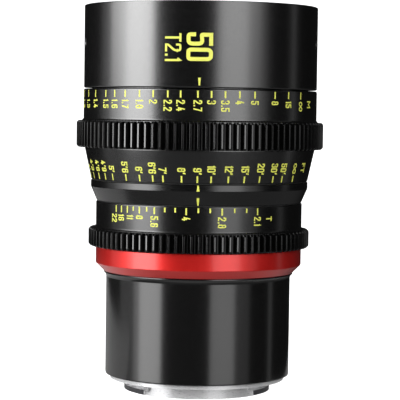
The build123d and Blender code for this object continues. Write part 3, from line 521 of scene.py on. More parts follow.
def radial_frame(angle, radius, height):
    """A frame on the barrel's wall whose Z points away from the axis."""
    turn = radians(angle)
    out = Vector((cos(turn), sin(turn), 0))
    along = Vector((-sin(turn), cos(turn), 0))
    up = Vector((0, 0, 1))
    spot = Matrix((along, up, out)).transposed().to_4x4()
    spot.translation = out * radius * MM + up * height * MM
    return spot


def rod(name, radius, low, high, frame_at):
    """A plain rod between two heights of a frame, used as a cutter."""
    grid = bmesh.new()
    size, depth = radius * MM, (high - low) * MM
    bmesh.ops.create_cone(
        grid, cap_ends=True, segments=DRILL_SIDES, radius1=size, radius2=size, depth=depth
    )
    bmesh.ops.translate(grid, verts=grid.verts, vec=(0, 0, (low + high) / 2 * MM))
    bmesh.ops.transform(grid, verts=grid.verts, matrix=frame_at)
    return new_object(name, mesh_from(grid, name))


def cut_with(piece, cutters):
    """Subtracts cutters from a piece, applies the result and removes them."""
    for cutter in cutters:
        cutting = piece.modifiers.new("cut", "BOOLEAN")
        cutting.operation, cutting.solver, cutting.object = "DIFFERENCE", "EXACT", cutter
    bpy.context.view_layer.update()
    whole = piece.evaluated_get(bpy.context.evaluated_depsgraph_get())
    shaped = bpy.data.meshes.new_from_object(whole)
    piece.modifiers.clear()
    piece.data = shaped
    shaped.set_sharp_from_angle(angle=SHARP_EDGE)
    for cutter in cutters:
        bpy.data.objects.remove(cutter)


starts = [radial_frame(angle, DRILL_START, GRUB_HEIGHT) for angle in GRUB_ANGLES]
cut_with(front_barrel, [rod("drill", GRUB_HOLE, *DRILL_REACH, start) for start in starts])
fit_out(front_barrel, "housing", "front_barrel")
print("holes", len(GRUB_ANGLES))

# %% [markdown]
# Each set screw is a short cylinder with a hexagon socket, almost level with the drum. Loops of
# vertices do it without a boolean: the outer ones are round, and the inner ones have six sides.

# %% Turn the set screws
SCREW_RADIUS = 1.47
SCREW_LENGTH = 3.0
SCREW_TOP = 39.93
SCREW_SIDES = 48
RIM_SHARE = 0.12
HEXAGON = 6
SOCKET_RADIUS = 0.72
SOCKET_SHARE = 0.55
LIP_SHARE = 1.12
LIP_DEPTH = 0.08


def socket_screw(name, radius, socket, length, frame_at):
    """A flat-topped screw with a hexagon socket; its top is at the frame's origin."""
    grid = bmesh.new()

    def loop(size, height, corners=0):
        made = []
        for step in range(SCREW_SIDES):
            turn = 2 * pi * step / SCREW_SIDES
            share = 1
            if corners:
                sector = 2 * pi / corners
                share = cos(sector / 2) / cos(turn % sector - sector / 2)
            made.append(vertex_at(grid, size * share, turn, height))
        return made

    rim = radius * RIM_SHARE
    loops = [
        loop(radius, -length), loop(radius, -rim), loop(radius - rim, 0),
        loop(socket * LIP_SHARE, 0, HEXAGON), loop(socket, -LIP_DEPTH, HEXAGON),
        loop(socket, -length * SOCKET_SHARE, HEXAGON),
    ]
    bridge(grid, loops, close=False)
    grid.faces.new(loops[0][::-1])
    grid.faces.new(loops[-1])
    bmesh.ops.transform(grid, verts=grid.verts, matrix=frame_at)
    return mesh_from(grid, name)


def join_meshes(name, meshes):
    grid = bmesh.new()
    for mesh in meshes:
        grid.from_mesh(mesh)
        bpy.data.meshes.remove(mesh)
    return link_mesh(grid, name)


seats = [radial_frame(angle, SCREW_TOP, GRUB_HEIGHT) for angle in GRUB_ANGLES]
screws = [socket_screw("screw", SCREW_RADIUS, SOCKET_RADIUS, SCREW_LENGTH, seat) for seat in seats]
set_screws = join_meshes("set_screws", screws)
fit_out(set_screws, "housing", "barrel_grub_screws", slot="steel")
print("set screws", len(screws))

# %% [markdown]
# ## Toothed rims
#
# Follow-focus teeth have an involute flank of 0.8 module. Each tooth is wide at its root, and its
# tip land is flat and catches a thin bright line. A few points up each flank are enough, because
# the curve is slight at this size.

# %% Tooth outline
MODULE = 0.8
PRESSURE = radians(20)
ROOT_SHARE = 1.25
VALLEY_SHARE = 0.55
LAND_SHARE = 0.7


def half_tooth(radius, pitch_radius, count):
    """Half the angle that a tooth fills at a radius."""
    base = pitch_radius * cos(PRESSURE)
    local = acos(min(1.0, base / radius))
    return pi / (2 * count) + (tan(PRESSURE) - PRESSURE) - (tan(local) - local)


def tooth_outline(count):
    """(radius, angle) corners once round a toothed rim, and its tip radius."""
    pitch_radius = MODULE * count / 2
    root, tip = pitch_radius - ROOT_SHARE * MODULE, pitch_radius + MODULE
    flank = [root + 0.05, pitch_radius - 0.35, pitch_radius + 0.25, tip - 0.10]
    half = {radius: half_tooth(radius, pitch_radius, count) for radius in (root, *flank, tip)}
    valley = (pi / count - half[root]) * VALLEY_SHARE
    land = half[tip] * LAND_SHARE
    corners = []
    for index in range(count):
        middle = 2 * pi * index / count
        corners.append((root, middle - half[root] - valley))
        corners += [(radius, middle - half[radius]) for radius in flank]
        corners += [(tip, middle - land), (tip, middle + land)]
        corners += [(radius, middle + half[radius]) for radius in flank[::-1]]
        corners.append((root, middle + half[root] + valley))
    return corners, tip


# %% [markdown]
# The rim is built layer by layer: the outline of all the teeth is repeated at several heights,
# and near both ends it shrinks towards the chamfer. The lands keep the satin skin of the turned
# blank, while the cutter leaves the flanks darker, so the rim wears two finishes.

# %% Toothed rim
TOOTH_CHAMFER = 0.6
CHAMFER_END_SHARE = 0.9
CHAMFER_TOP_SHARE = 1.15
TIP_BREAK = 0.08
TOOTH_SHARP = radians(20)
LAND_MARGIN = 0.02


def toothed_rim(name, count, bore, low, high):
    """A ring of teeth between two heights, closed at both ends down to its bore."""
    corners, tip = tooth_outline(count)
    near, far = TOOTH_CHAMFER * CHAMFER_END_SHARE, TOOTH_CHAMFER * CHAMFER_TOP_SHARE
    layers = [
        (low, tip - TOOTH_CHAMFER), (low + near, tip - TIP_BREAK), (low + far, tip),
        (high - far, tip), (high - near, tip - TIP_BREAK), (high, tip - TOOTH_CHAMFER),
        (high, bore), (low, bore),
    ]
    grid = bmesh.new()
    loops = [
        [vertex_at(grid, min(radius, reach), turn, height) for radius, turn in corners]
        for height, reach in layers
    ]
    bridge(grid, loops, close=True)
    return link_mesh(grid, name, TOOTH_SHARP)


def polish_lands(piece, count):
    """Gives the lands the satin finish of the bands."""
    mesh = piece.data
    edge = (MODULE * count / 2 + MODULE - LAND_MARGIN) * MM
    outer = [hypot(*vertex.co.xy) > edge for vertex in mesh.vertices]
    lands = [int(all(outer[index] for index in face.vertices)) for face in mesh.polygons]
    mesh.materials.append(finishes["black_anodised"])
    mesh.polygons.foreach_set("material_index", lands)
    print(piece.name, count, "teeth,", sum(lands), "faces on their lands")

# %% [markdown]
# ## Focus ring
#
# The focus ring is one piece of aluminium with three zones: the metre band on top, the toothed
# rim, and a cone with the feet scale. The bands and the rim are separate meshes, because they
# are made in different ways. Where the band meets the teeth, a small hollow curve runs round.

# %% Turn the focus ring
focus_low, focus_high = ends_of("focus_ring")
FOCUS_TEETH = 104
FOCUS_GEAR_BORE = 39.0
FOCUS_BORE = 36.65
FOCUS_LIP_BORE = 35.1
FOCUS_LIP_TOP = focus_low + 4.3
gear_low = focus_low + 10.9
gear_high = gear_low + 9.1
BAND_RADIUS = 40.05
CONE_LOW, CONE_HIGH = (37.25, focus_low), (39.5, focus_low + 10.6)

focus_profile = [
    (FOCUS_LIP_BORE, focus_low), (37.0, focus_low), (37.24, focus_low + 0.15),
    CONE_HIGH, (39.5, gear_low + 0.3), (40.0, gear_low + 0.3), (40.0, gear_high - 0.3),
    (40.75, gear_high - 0.3), (40.72, gear_high + 0.06), (40.5, gear_high + 0.17),
    (40.3, gear_high + 0.34), (40.15, gear_high + 0.56), (BAND_RADIUS, gear_high + 0.85),
    (BAND_RADIUS, focus_high - 0.45), (39.92, focus_high - 0.18), (39.6, focus_high),
    (FOCUS_BORE, focus_high), (FOCUS_BORE, FOCUS_LIP_TOP), (FOCUS_LIP_BORE, FOCUS_LIP_TOP),
]
focus_bands = spun("focus_ring_bands", focus_profile)
fit_out(focus_bands, "focus_body", "focus_ring")
focus_teeth = toothed_rim("focus_ring_teeth", FOCUS_TEETH, FOCUS_GEAR_BORE, gear_low, gear_high)
fit_out(focus_teeth, "focus_body", finish="tooth_black")
polish_lands(focus_teeth, FOCUS_TEETH)

# %% [markdown]
# ## Iris ring, index ring and red ring
#
# The iris ring has the T-stop band above and a second toothed rim below. The fixed index ring
# above it has a straight rim and a taper, and the red ring below, with its wide chamfer, is the
# only colour on the lens.

# %% Turn the iris ring
iris_low, iris_high = ends_of("iris_ring")
IRIS_TEETH = 93
IRIS_GEAR_BORE = 34.5
IRIS_BORE = 33.4
IRIS_RADIUS = 35.45
iris_gear_high = iris_low + 6.1
iris_profile = [
    (IRIS_BORE, iris_low), (35.0, iris_low), (35.05, iris_gear_high - 0.3),
    (36.05, iris_gear_high - 0.3), (36.02, iris_gear_high + 0.06), (35.82, iris_gear_high + 0.16),
    (35.65, iris_gear_high + 0.32), (35.52, iris_gear_high + 0.54),
    (IRIS_RADIUS, iris_gear_high + 0.8), (IRIS_RADIUS, iris_high - 0.35), (35.35, iris_high - 0.1),
    (35.1, iris_high), (IRIS_BORE, iris_high),
]
iris_band = spun("iris_ring_band", iris_profile)
fit_out(iris_band, "iris_body", "iris_ring", finish="ring_black")
iris_teeth = toothed_rim("iris_ring_teeth", IRIS_TEETH, IRIS_GEAR_BORE, iris_low, iris_gear_high)
fit_out(iris_teeth, "iris_body", finish="tooth_black")
polish_lands(iris_teeth, IRIS_TEETH)

# %% Turn the index ring and the red ring
index_low, index_high = ends_of("index_ring")
FIXED_BORE = 33.35
INDEX_RADIUS = 37.3
TAPER_FOOT = 35.3
TAPER_TOP = index_low + 4.7
index_profile = [
    (FIXED_BORE, index_low), (35.15, index_low), (TAPER_FOOT, index_low + 0.12),
    (37.22, TAPER_TOP - 0.1), (INDEX_RADIUS, TAPER_TOP + 0.12), (INDEX_RADIUS, index_high - 0.2),
    (37.1, index_high), (FIXED_BORE, index_high),
]
index_ring = spun("index_ring_turned", index_profile)
fit_out(index_ring, "housing", "index_ring", finish="ring_black")

red_low, red_high = ends_of("red_ring")
RED_RADIUS = 35.4
RED_FOOT_BORE = 31.6
RED_STEP = red_low + 3.1
red_profile = [
    (RED_FOOT_BORE, red_low), (32.55, red_low), (32.7, red_low + 0.08), (35.32, red_low + 2.68),
    (RED_RADIUS, red_low + 2.86), (RED_RADIUS, red_high - 0.2), (35.2, red_high),
    (FIXED_BORE, red_high), (FIXED_BORE, RED_STEP), (RED_FOOT_BORE, RED_STEP),
]
red_ring = spun("red_ring_turned", red_profile)
fit_out(red_ring, "housing", "red_ring", slot="red_anodised")
print("index ring", round(index_high - index_low, 2), "red ring", round(red_high - red_low, 2))

# %% [markdown]
# ## Rear tube
#
# The tube carries the lens over the short distance that a mirrorless camera needs. It is longer
# and glossier than the rings. Its top ends in a thin round lip, with a hollow curve under it.

# %% Turn the rear tube
tube_low, tube_high = ends_of("rear_tube")
TUBE_RADIUS = 31.75
TUBE_BORE = 29.4
TUBE_MOUTH, TUBE_MOUTH_DEPTH = 23.0, 2.5
TUBE_FLOOR_BORE, TUBE_FLOOR = 21.5, 4.0
tube_profile = [
    (TUBE_FLOOR_BORE, tube_low), (31.35, tube_low), (31.65, tube_low + 0.12),
    (TUBE_RADIUS, tube_low + 0.4), (TUBE_RADIUS, tube_high - 1.95), (31.8, tube_high - 1.6),
    (31.95, tube_high - 1.2), (32.2, tube_high - 0.85), (32.45, tube_high - 0.66),
    (32.57, tube_high - 0.5), (32.58, tube_high - 0.3), (32.5, tube_high - 0.15),
    (32.3, tube_high - 0.05), (32.0, tube_high), (TUBE_MOUTH, tube_high),
    (TUBE_MOUTH, tube_high - TUBE_MOUTH_DEPTH), (TUBE_BORE, tube_high - TUBE_MOUTH_DEPTH),
    (TUBE_BORE, tube_low + TUBE_FLOOR), (TUBE_FLOOR_BORE, tube_low + TUBE_FLOOR),
]
rear_tube = spun("rear_tube_turned", tube_profile)
fit_out(rear_tube, "housing", "rear_tube", slot="gloss_black")
print("tube", round(tube_high - tube_low, 1), "mm")

# %% [markdown]
# ## Scales
#
# The numbers on a real ring are cut by a narrow tool, or printed, and filled with paint. The tool
# has one width, so a stroke font fits better than an outline font: each character is a few centre
# lines with rounded corners, drawn in a box one unit high.

# %% A stroke font


def rounded(corners, radius=0.2, steps=5):
    """A centre line with rounded corners; a corner's third value is a radius of its own."""
    spots = [(Vector(spot[:2]), spot[2] if len(spot) > 2 else radius) for spot in corners]
    path = [spots[0][0]]
    for (before, _), (here, size), (after, _) in zip(spots, spots[1:], spots[2:]):
        back, ahead = before - here, after - here
        reach = min(size, back.length / 2, ahead.length / 2)
        if reach < 0.01:
            path.append(here)
            continue
        start, end = here + back.normalized() * reach, here + ahead.normalized() * reach
        for step in range(steps + 1):
            share = step / steps
            path.append(start.lerp(here, share).lerp(here.lerp(end, share), share))
    return path + [spots[-1][0]]


def figure_eight(middle, reach, tall, steps=44):
    """The sign for infinity, as one closed centre line."""
    path = []
    for step in range(steps + 1):
        turn = 2 * pi * step / steps
        across = cos(turn) / (1 + sin(turn) ** 2)
        path.append(Vector((middle + reach * across, 0.5 + tall * sin(turn) * across)))
    return path


W = 0.52
S = W - 0.03
LINES = {
    "0": (W, [(W / 2, 0), (0, 0), (0, 1), (W, 1), (W, 0), (W / 2, 0)]),
    "1": (0.1, [(0, 0.86, 0), (0.1, 1, 0), (0.1, 0)]),
    "2": (W, [(0, 0.78), (0, 1), (W, 1), (W, 0.62), (0, 0.14, 0.1), (0, 0, 0), (W, 0)]),
    "3": (
        W, [(0, 0.84), (0, 1), (W, 1), (W, 0.53), (0.17, 0.53)],
        [(0.17, 0.53), (W, 0.53), (W, 0), (0, 0), (0, 0.16)],
    ),
    "4": (W, [(0.24, 1), (0, 0.24, 0), (W, 0.24)], [(0.36, 0.56), (0.36, 0)]),
    "5": (W, [(W, 1), (0.02, 1, 0), (0.02, 0.58, 0.06), (W, 0.62), (W, 0), (0, 0), (0, 0.24)]),
    "6": (W, [(W, 0.84), (W, 1), (0, 1), (0, 0), (W, 0), (W, 0.58), (0, 0.58)]),
    "7": (W, [(0, 1), (W, 1, 0), (0.16, 0)]),
    "8": (
        W, [(W / 2, 0.54), (0.03, 0.54), (0.03, 1), (S, 1), (S, 0.54), (W / 2, 0.54)],
        [(W / 2, 0.54), (0, 0.54), (0, 0), (W, 0), (W, 0.54), (W / 2, 0.54)],
    ),
    "9": (W, [(0, 0.16), (0, 0), (W, 0), (W, 1), (0, 1), (0, 0.42), (W, 0.42)]),
    ".": (0.06, [(0.03, 0.0), (0.03, 0.04)]),
    "'": (0.06, [(0.05, 1.0), (0.0, 0.8)]),
    "T": (0.56, [(0, 1), (0.56, 1)], [(0.28, 1), (0.28, 0)]),
    "F": (0.48, [(0, 0), (0, 1, 0), (0.48, 1)], [(0, 0.5), (0.4, 0.5)]),
    "M": (0.66, [(0, 0), (0, 1, 0), (0.33, 0.35, 0), (0.66, 1, 0), (0.66, 0)]),
}
GLYPHS = {sign: (wide, [rounded(line) for line in rest]) for sign, (wide, *rest) in LINES.items()}
GLYPHS["o"] = (1.75, [figure_eight(0.875, 0.875, 0.95)])
print("characters", len(GLYPHS))

# %% [markdown]
# The tool leaves a ribbon of its own width along each centre line, with mitred corners and square
# ends. Long strokes get extra points, so that they can bend round the ring.

# %% From centre line to ribbon
TOUCHING = 1e-6
BEND_STEP = 0.5
SHARPEST_MITRE = 0.5


def is_closed(points):
    return (points[0] - points[-1]).length < TOUCHING


def ribbon(points, width):
    """Left and right edges of a centre line of the given width, with mitred corners."""
    closed = is_closed(points)
    left, right = [], []
    for index, here in enumerate(points):
        before = points[index - 1] if index else (points[-2] if closed else None)
        last = index == len(points) - 1
        after = (points[1] if closed else None) if last else points[index + 1]
        into = (here - before if before is not None else after - here).normalized()
        out = (after - here).normalized() if after is not None else into
        side = Vector((-(into.y + out.y), into.x + out.x)).normalized()
        half = side * width / 2 / max(SHARPEST_MITRE, side.dot(Vector((-into.y, into.x))))
        left.append(here + half)
        right.append(here - half)
    return left, right, closed


def squared(points, width):
    """A centre line that runs on by half its width at both ends, unless it is closed."""
    if is_closed(points):
        return points
    first = points[0] + (points[0] - points[1]).normalized() * width / 2
    last = points[-1] + (points[-1] - points[-2]).normalized() * width / 2
    return [first] + points[1:-1] + [last]


def densify(points, step):
    """Extra points, so that a long stroke can bend round the ring."""
    out = [points[0]]
    for start, end in zip(points, points[1:]):
        parts = max(1, int((end - start).length / step))
        out += [start.lerp(end, part / parts) for part in range(1, parts + 1)]
    return out

# %% [markdown]
# Each ribbon is bent onto its cone or cylinder, and stands two hundredths of a millimetre proud,
# with side walls that reach a little into the metal, so that it is a real layer of paint.

# %% Wrap strokes onto a ring
PAINT_LIFT = 0.02
PAINT_DEPTH = 0.03


def wrap(radius_at, turn, height):
    """A point on a ring's surface; turn is in degrees from the index, positive to the right."""
    radius = (radius_at(height) + PAINT_LIFT) * MM
    where = radians(turn - 90)
    return Vector((radius * cos(where), radius * sin(where), height * MM))


def sink(point):
    """The same point a little below the surface, for side walls."""
    flat = Vector((point.x, point.y, 0))
    return point - flat.normalized() * (PAINT_LIFT + PAINT_DEPTH) * MM


def add_strip(grid, left, right, closed=False):
    """A layer of paint between two edges on a surface, with short walls into it."""
    top = [[grid.verts.new(spot) for spot in side] for side in (left, right)]
    low = [[grid.verts.new(sink(v.co)) for v in side] for side in top]
    for index in range(len(left) - 1):
        a, b = top[0][index], top[0][index + 1]
        c, d = top[1][index + 1], top[1][index]
        grid.faces.new((a, b, c, d))
        grid.faces.new((b, a, low[0][index], low[0][index + 1]))
        grid.faces.new((d, c, low[1][index + 1], low[1][index]))
    if not closed:
        grid.faces.new((top[0][0], top[1][0], low[1][0], low[0][0]))
        grid.faces.new((top[1][-1], top[0][-1], low[0][-1], low[1][-1]))


def add_stroke(grid, points, width, to_surface):
    """One painted stroke: a ribbon along a centre line."""
    left, right, closed = ribbon(densify(squared(points, width), BEND_STEP), width)
    add_strip(grid, [to_surface(p) for p in left], [to_surface(p) for p in right], closed)

# %% [markdown]
# On this lens all text reads downwards, with the tops of the characters to the right. So a
# character's own x runs down the ring, and its y runs round it.

# %% Write words and marks
TICK_ROWS = 6


def text_length(text, size, _, gap, wide):
    return sum(GLYPHS[letter][0] for letter in text) * size * wide + gap * (len(text) - 1)


def add_text(grid, text, radius_at, turn, start, size, width, gap, wide):
    """Text that starts at a height and reads downwards; a style is its last four values."""

    def to_surface(p):
        return wrap(radius_at, turn + degrees(p[0] / radius_at(p[1])), p[1])

    pen = start
    for letter in text:
        advance, strokes = GLYPHS[letter]
        for stroke in strokes:
            points = [Vector(((p.y - 0.5) * size, pen - p.x * size * wide)) for p in stroke]
            add_stroke(grid, points, width, to_surface)
        pen -= advance * size * wide + gap


def add_tick(grid, radius_at, turn, high, low, top_width, low_width):
    """A straight mark, which may be wider at one end."""
    left, right = [], []
    for row in range(TICK_ROWS + 1):
        share = row / TICK_ROWS
        height = high + (low - high) * share
        half = (top_width + (low_width - top_width) * share) / 2
        reach = degrees(half / radius_at(height))
        left.append(wrap(radius_at, turn - reach, height))
        right.append(wrap(radius_at, turn + reach, height))
    add_strip(grid, left, right)


def painted(name, body, draw):
    """Collects marks into one piece of paint."""
    grid = bmesh.new()
    draw(grid)
    piece = link_mesh(grid, name)
    fit_out(piece, body, slot="scale_paint")
    print(name, len(piece.data.polygons), "faces")

# %% [markdown]
# ## The metre scale
#
# Distances crowd towards the near end and spread near infinity, because the glass moves as the
# inverse of the distance. The places are given as turn angles from the index, with the lens set
# to 2.7 m. The marks below 1.2 m are behind the lens in the photograph and follow the same law.

# %% Paint the metre scale
TICK_WIDTH = 0.53
metre_marks = [
    ("o", 56.8), ("15", 47.0), ("8", 38.1), ("5", 26.8), ("4", 19.1), ("3.5", 12.2), ("3", 5.7),
    ("2.7", -0.6), ("2.4", -8.6), ("2.2", -14.7), ("2", -21.9), ("1.8", -29.1), ("1.7", -37.3),
    ("1.6", -44.1), ("1.5", -50.7), ("1.4", -60.1), ("1.3", -69.3), ("1.2", -79.3),
    ("1.1", -92.9), ("1.0", -109.5), ("0.9", -130.3), ("0.8", -157.0), ("0.7", -192.6),
    ("0.65", -215.2), ("0.6", -242.4),
]
METRE_TICK = (98.63, 96.33)
METRE_TEXT = 95.35
# a style is a size, a stroke, a gap and a width; a unit's place stands before its style
METRE_STYLE = (2.42, 0.42, 0.7, 0.67)
METRE_UNIT = (65.6, 95.6, 2.42, 0.42, 0.7, 1.2)


def band_radius(height):
    return BAND_RADIUS


def draw_metres(grid):
    for text, turn in metre_marks:
        add_tick(grid, band_radius, turn, *METRE_TICK, TICK_WIDTH, TICK_WIDTH)
        add_text(grid, text, band_radius, turn, METRE_TEXT, *METRE_STYLE)
    add_text(grid, "M", band_radius, *METRE_UNIT)


painted("metre_scale", "focus_body", draw_metres)

# %% [markdown]
# ## The feet scale
#
# The feet scale stands on the cone below the teeth, with its ticks at the lower edge. Each number
# ends just above its tick, so longer numbers start higher.

# %% Paint the feet scale
feet_marks = [
    ("o", 56.5), ("50'", 47.2), ("30'", 40.6), ("20'", 32.2), ("15'", 23.5), ("12'", 15.1),
    ("10'", 6.4), ("9'", -0.4), ("8'", -8.3), ("7'", -17.8), ("6'6", -23.3), ("6'", -30.8),
    ("5'6", -39.4), ("5'", -49.3), ("4'9", -56.0), ("4'6", -63.0), ("4'3", -71.1),
    ("4'", -79.7), ("3'9", -90.3), ("3'6", -102.0), ("3'3", -116.0), ("3'", -133.5),
    ("2'9", -154.7), ("2'6", -181.5), ("2'3", -216.0),
]
FEET_TICK = (70.95, 68.8)
FEET_TEXT_END = 71.73
FEET_STYLE = (2.3, 0.45, 0.62, 0.78)
FEET_UNIT = (65.8, 74.8, 2.3, 0.45, 0.62, 0.88)


def on_cone(height, low, high):
    """The radius at a height of a cone between two (radius, height) corners."""
    return low[0] + (high[0] - low[0]) * (height - low[1]) / (high[1] - low[1])


def cone_radius(height):
    return on_cone(height, CONE_LOW, CONE_HIGH)


def draw_feet(grid):
    for text, turn in feet_marks:
        add_tick(grid, cone_radius, turn, *FEET_TICK, TICK_WIDTH, TICK_WIDTH)
        start = FEET_TEXT_END + text_length(text, *FEET_STYLE)
        add_text(grid, text, cone_radius, turn, start, *FEET_STYLE)
    add_text(grid, "FT", cone_radius, *FEET_UNIT)


painted("feet_scale", "focus_body", draw_feet)

# %% [markdown]
# ## The T-stop scale and the index marks
#
# The full stops have long ticks and numbers. From 11 on, shorter ticks divide the steps between
# them. The three smallest openings lie so close together that their numbers stand a little
# beside their ticks. The wedges on the fixed parts point at the scales: one on the front barrel,
# two on the index ring.

# %% Paint the stops
stop_marks = [
    ("22", -50.35), ("16", -45.85), ("11", -41.25), ("", -37.05), ("8", -32.95), ("", -28.35),
    ("5.6", -23.75), ("", -17.75), ("", -12.05), ("4", -6.15), ("", 0.25), ("", 6.55),
    ("2.8", 12.95), ("", 19.85), ("", 26.75), ("2.1", 33.55),
]
STOP_TICK_TOP, STOP_TICK_LOW, SHORT_TICK_LOW = 60.4, 58.13, 58.9
STOP_TEXT = 57.3
STOP_STYLE = (2.38, 0.42, 0.7, 0.67)
STOP_UNIT = (41.4, 57.4, 2.1, 0.42, 0.7, 1.0)
TEXT_SHIFT = {"22": -1.5, "16": -0.2, "11": 1.9}


def iris_radius(height):
    return IRIS_RADIUS


def draw_stops(grid):
    for text, turn in stop_marks:
        low = STOP_TICK_LOW if text else SHORT_TICK_LOW
        add_tick(grid, iris_radius, turn, STOP_TICK_TOP, low, TICK_WIDTH, TICK_WIDTH)
        beside = turn + TEXT_SHIFT.get(text, 0)
        add_text(grid, text, iris_radius, beside, STOP_TEXT, *STOP_STYLE)
    add_text(grid, "T", iris_radius, *STOP_UNIT)


painted("stop_scale", "iris_body", draw_stops)

# %% Paint the index wedges
WEDGE_TIP = 0.45
FRONT_WEDGE, UPPER_WEDGE, LOWER_WEDGE = (102.79, 100.29), (67.9, 65.95), (63.75, 61.25)
FRONT_WEDGE_WIDE, INDEX_WEDGE_WIDE = 0.88, 0.95


def index_radius(height):
    """The index ring is a cylinder above its taper."""
    top = (INDEX_RADIUS, TAPER_TOP)
    return on_cone(min(height, TAPER_TOP), (TAPER_FOOT, index_low), top)


def front_radius(height):
    return FRONT_RADIUS


def draw_index(grid):
    add_tick(grid, front_radius, 0, *FRONT_WEDGE, FRONT_WEDGE_WIDE, WEDGE_TIP)
    add_tick(grid, index_radius, 0, *UPPER_WEDGE, WEDGE_TIP, INDEX_WEDGE_WIDE)
    add_tick(grid, index_radius, 0, *LOWER_WEDGE, INDEX_WEDGE_WIDE, WEDGE_TIP)


painted("index_wedges", "housing", draw_index)

# %% [markdown]
# The focal length and the widest stop stand large on the front barrel, in the same stroke font
# with a broader tool.

# %% Paint the large numbers
LENGTH_TEXT = (-0.05, 116.7, 7.3, 1.28, 1.93, 0.79)
WIDEST_TEXT = (-12.45, 116.66, 4.75, 0.7, 1.25, 0.77)


def draw_titles(grid):
    add_text(grid, "50", front_radius, *LENGTH_TEXT)
    add_text(grid, "T2.1", front_radius, *WIDEST_TEXT)


painted("focal_length_marks", "housing", draw_titles)

# %% [markdown]
# ## Bayonet and glass
#
# The flange, the lugs and the two outer glasses keep their CAD shapes. Only their shading is
# made smooth, with crisp edges.

# %% Shade the bayonet and glass
FRAME_SHARP = radians(25)
for name in ("bayonet_mount", "front_element", "rear_element"):
    smooth(nodes[name].data, FRAME_SHARP)
    print(name, "smooth")

# %% [markdown]
# ## The studio
#
# The photograph has a bare white ground, one tall soft light on the left and a weaker one just
# right of the camera. Black metal shows little but these lights, so their places follow from
# where each band lies on the barrel: on a cylinder, a band seen at an angle mirrors a light at
# twice that angle. The white ground is a bowl that only the camera sees. What the metal sees is
# a dark room and a pale table behind the lens, which puts the pale rim on the polished tube.

# %% Ground
GROUND_Z = -4.1 * MM
FLOOR_START, FLOOR_MIDDLE, FLOOR_REACH = 0.0005, 0.3, 1.6
BEND = 0.9
BEND_STEPS = 12
WALL_TOP = 2.4
BOWL_STEPS = 96

ground = principled(
    "ground", grey(0.9), metallic=0.0, roughness=0.9,
    emission_color=(1, 1, 1, 1), emission_strength=1.2,
)
add_grain(ground, scale=8.0, low=0.85, high=0.95)

bowl_profile = [(FLOOR_START, 0.0), (FLOOR_MIDDLE, 0.0), (FLOOR_REACH, 0.0)]
for step in range(1, BEND_STEPS + 1):
    turn = radians(90 * step / BEND_STEPS)
    bowl_profile.append((FLOOR_REACH + BEND * sin(turn), BEND - BEND * cos(turn)))
bowl_profile.append((FLOOR_REACH + BEND, WALL_TOP))
bowl_profile = [(r / MM, (h + GROUND_Z) / MM) for r, h in bowl_profile]
bowl = spun("bowl", bowl_profile, close=False, steps=BOWL_STEPS)
wear(bowl, ground)
bowl.visible_glossy = bowl.visible_diffuse = bowl.visible_shadow = False
print("ground at", GROUND_Z)

# %% Table
TABLE_LEFT, TABLE_RIGHT, TABLE_FRONT, TABLE_BACK = -0.22, 0.06, -0.015, 0.45
TABLE_Z = GROUND_Z - MM
table_white = principled("table_white", grey(0.62), metallic=0.0, roughness=0.9)
add_grain(table_white, scale=8.0, low=0.85, high=0.95)
table_mesh = bpy.data.meshes.new("table")
sides = ((TABLE_LEFT, TABLE_FRONT), (TABLE_RIGHT, TABLE_FRONT))
sides += ((TABLE_RIGHT, TABLE_BACK), (TABLE_LEFT, TABLE_BACK))
table_mesh.from_pydata([(x, y, TABLE_Z) for x, y in sides], [], [(0, 1, 2, 3)])
table = new_object("table", table_mesh)
wear(table, table_white)
table.visible_camera = False
print("table", TABLE_RIGHT - TABLE_LEFT, "by", TABLE_BACK - TABLE_FRONT)

# %% [markdown]
# A light bank is an upright rectangle that faces the lens. Real soft boxes fade towards their
# sides and are brighter higher up, so each bank is a strong narrow light with weaker, wider ones
# behind it, some of which start higher.

# %% Light banks
BANK_DISTANCE = 0.9
BANK_GAP = 0.01
FOOT, UPPER_FOOT, TOP_FOOT, LIGHT_TOP = -0.2, 0.03, 0.14, 0.95


def bank(name, bearing, spread, low, high, radiance, distance, glossy=True):
    """An upright area light; bearing and half its spread are in degrees round from the camera."""
    data = bpy.data.lights.new(name, "AREA")
    data.shape = "RECTANGLE"
    data.size = 2 * distance * tan(radians(spread))
    data.size_y = high - low
    data.energy = radiance * pi * data.size * data.size_y
    light = new_object(name, data)
    where = radians(bearing - 90)
    light.location = (distance * cos(where), distance * sin(where), (low + high) / 2)
    aim = Vector((-light.location.x, -light.location.y, 0))
    light.rotation_euler = aim.to_track_quat("-Z", "Y").to_euler()
    light.visible_glossy = glossy
    light.visible_camera = False


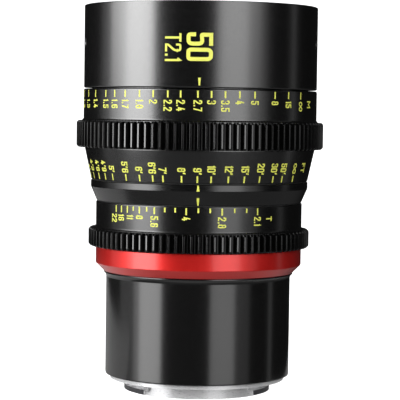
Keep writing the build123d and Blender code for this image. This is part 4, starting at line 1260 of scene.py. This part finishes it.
# name, bearing, half spread, lower end, radiance, layer behind the strong light
banks = [
    ("left_bank", -60, 15.5, FOOT, 1.8, 0),
    ("left_bank_wide", -64, 20.0, FOOT, 0.9, 1),
    ("left_bank_upper", -70, 25.0, UPPER_FOOT, 1.25, 2),
    ("left_bank_top", -71, 25.0, TOP_FOOT, 1.0, 3),
    ("left_bank_edge", -96, 14.0, FOOT, 0.25, 4),
    ("right_bank", 31, 15.5, FOOT, 1.0, 0),
    ("right_bank_wide", 42, 25.0, FOOT, 0.22, 1),
    ("right_bank_upper", 39, 20.0, UPPER_FOOT, 0.3, 2),
    ("right_bank_top", 39, 21.0, TOP_FOOT, 0.45, 3),
    ("right_strip", 101, 3.5, FOOT, 0.25, 0),
]
for name, bearing, spread, low, radiance, layer in banks:
    bank(name, bearing, spread, low, LIGHT_TOP, radiance, BANK_DISTANCE + BANK_GAP * layer)
bank(
    "front_fill", bearing=5, spread=30.0, low=0.0, high=1.2, radiance=1.75, distance=1.4,
    glossy=False,
)
print("light banks", len(banks) + 1)

# %% [markdown]
# A broad light overhead fills the upper faces. The room itself is dark, and only rays that go
# down steeply meet a little light, as if from a pale floor.

# %% Overhead light and room
OVERHEAD_SIZE = 2.0
OVERHEAD_RADIANCE = 1.2
OVERHEAD_PLACE = (0, 0.2, 2.2)
DOWNWARD = (-0.2, -1.0)
DARK_ROOM, FLOOR_LIGHT = 0.01, 0.4
BETWEEN = ((0.3, 0.11), (0.7, 0.13))

overhead_data = bpy.data.lights.new("overhead", "AREA")
overhead_data.size = OVERHEAD_SIZE
overhead_data.energy = OVERHEAD_RADIANCE * pi * OVERHEAD_SIZE**2
overhead = new_object("overhead", overhead_data)
overhead.location = OVERHEAD_PLACE
overhead.visible_glossy = overhead.visible_camera = False

world = bpy.data.worlds.new("studio")
world.use_nodes = True
sky = world.node_tree.nodes["Background"]
towards = new_node(world, "ShaderNodeTexCoord")
parts = new_node(world, "ShaderNodeSeparateXYZ")
depth = map_range(world, DOWNWARD, (0, 1))
glow = new_node(world, "ShaderNodeValToRGB")
for stop, level in BETWEEN:
    glow.color_ramp.elements.new(stop).color = (*grey(level), 1)
glow.color_ramp.elements[0].color = (*grey(DARK_ROOM), 1)
glow.color_ramp.elements[-1].color = (*grey(FLOOR_LIGHT), 1)
wire(world, towards.outputs["Generated"], parts.inputs["Vector"])
wire(world, parts.outputs["Z"], depth.inputs["Value"])
wire(world, depth.outputs["Result"], glow.inputs["Fac"])
wire(world, glow.outputs["Color"], sky.inputs["Color"])
bpy.context.scene.world = world
bpy.context.scene.view_settings.view_transform = "Standard"
print("room", DARK_ROOM, "to", FLOOR_LIGHT)
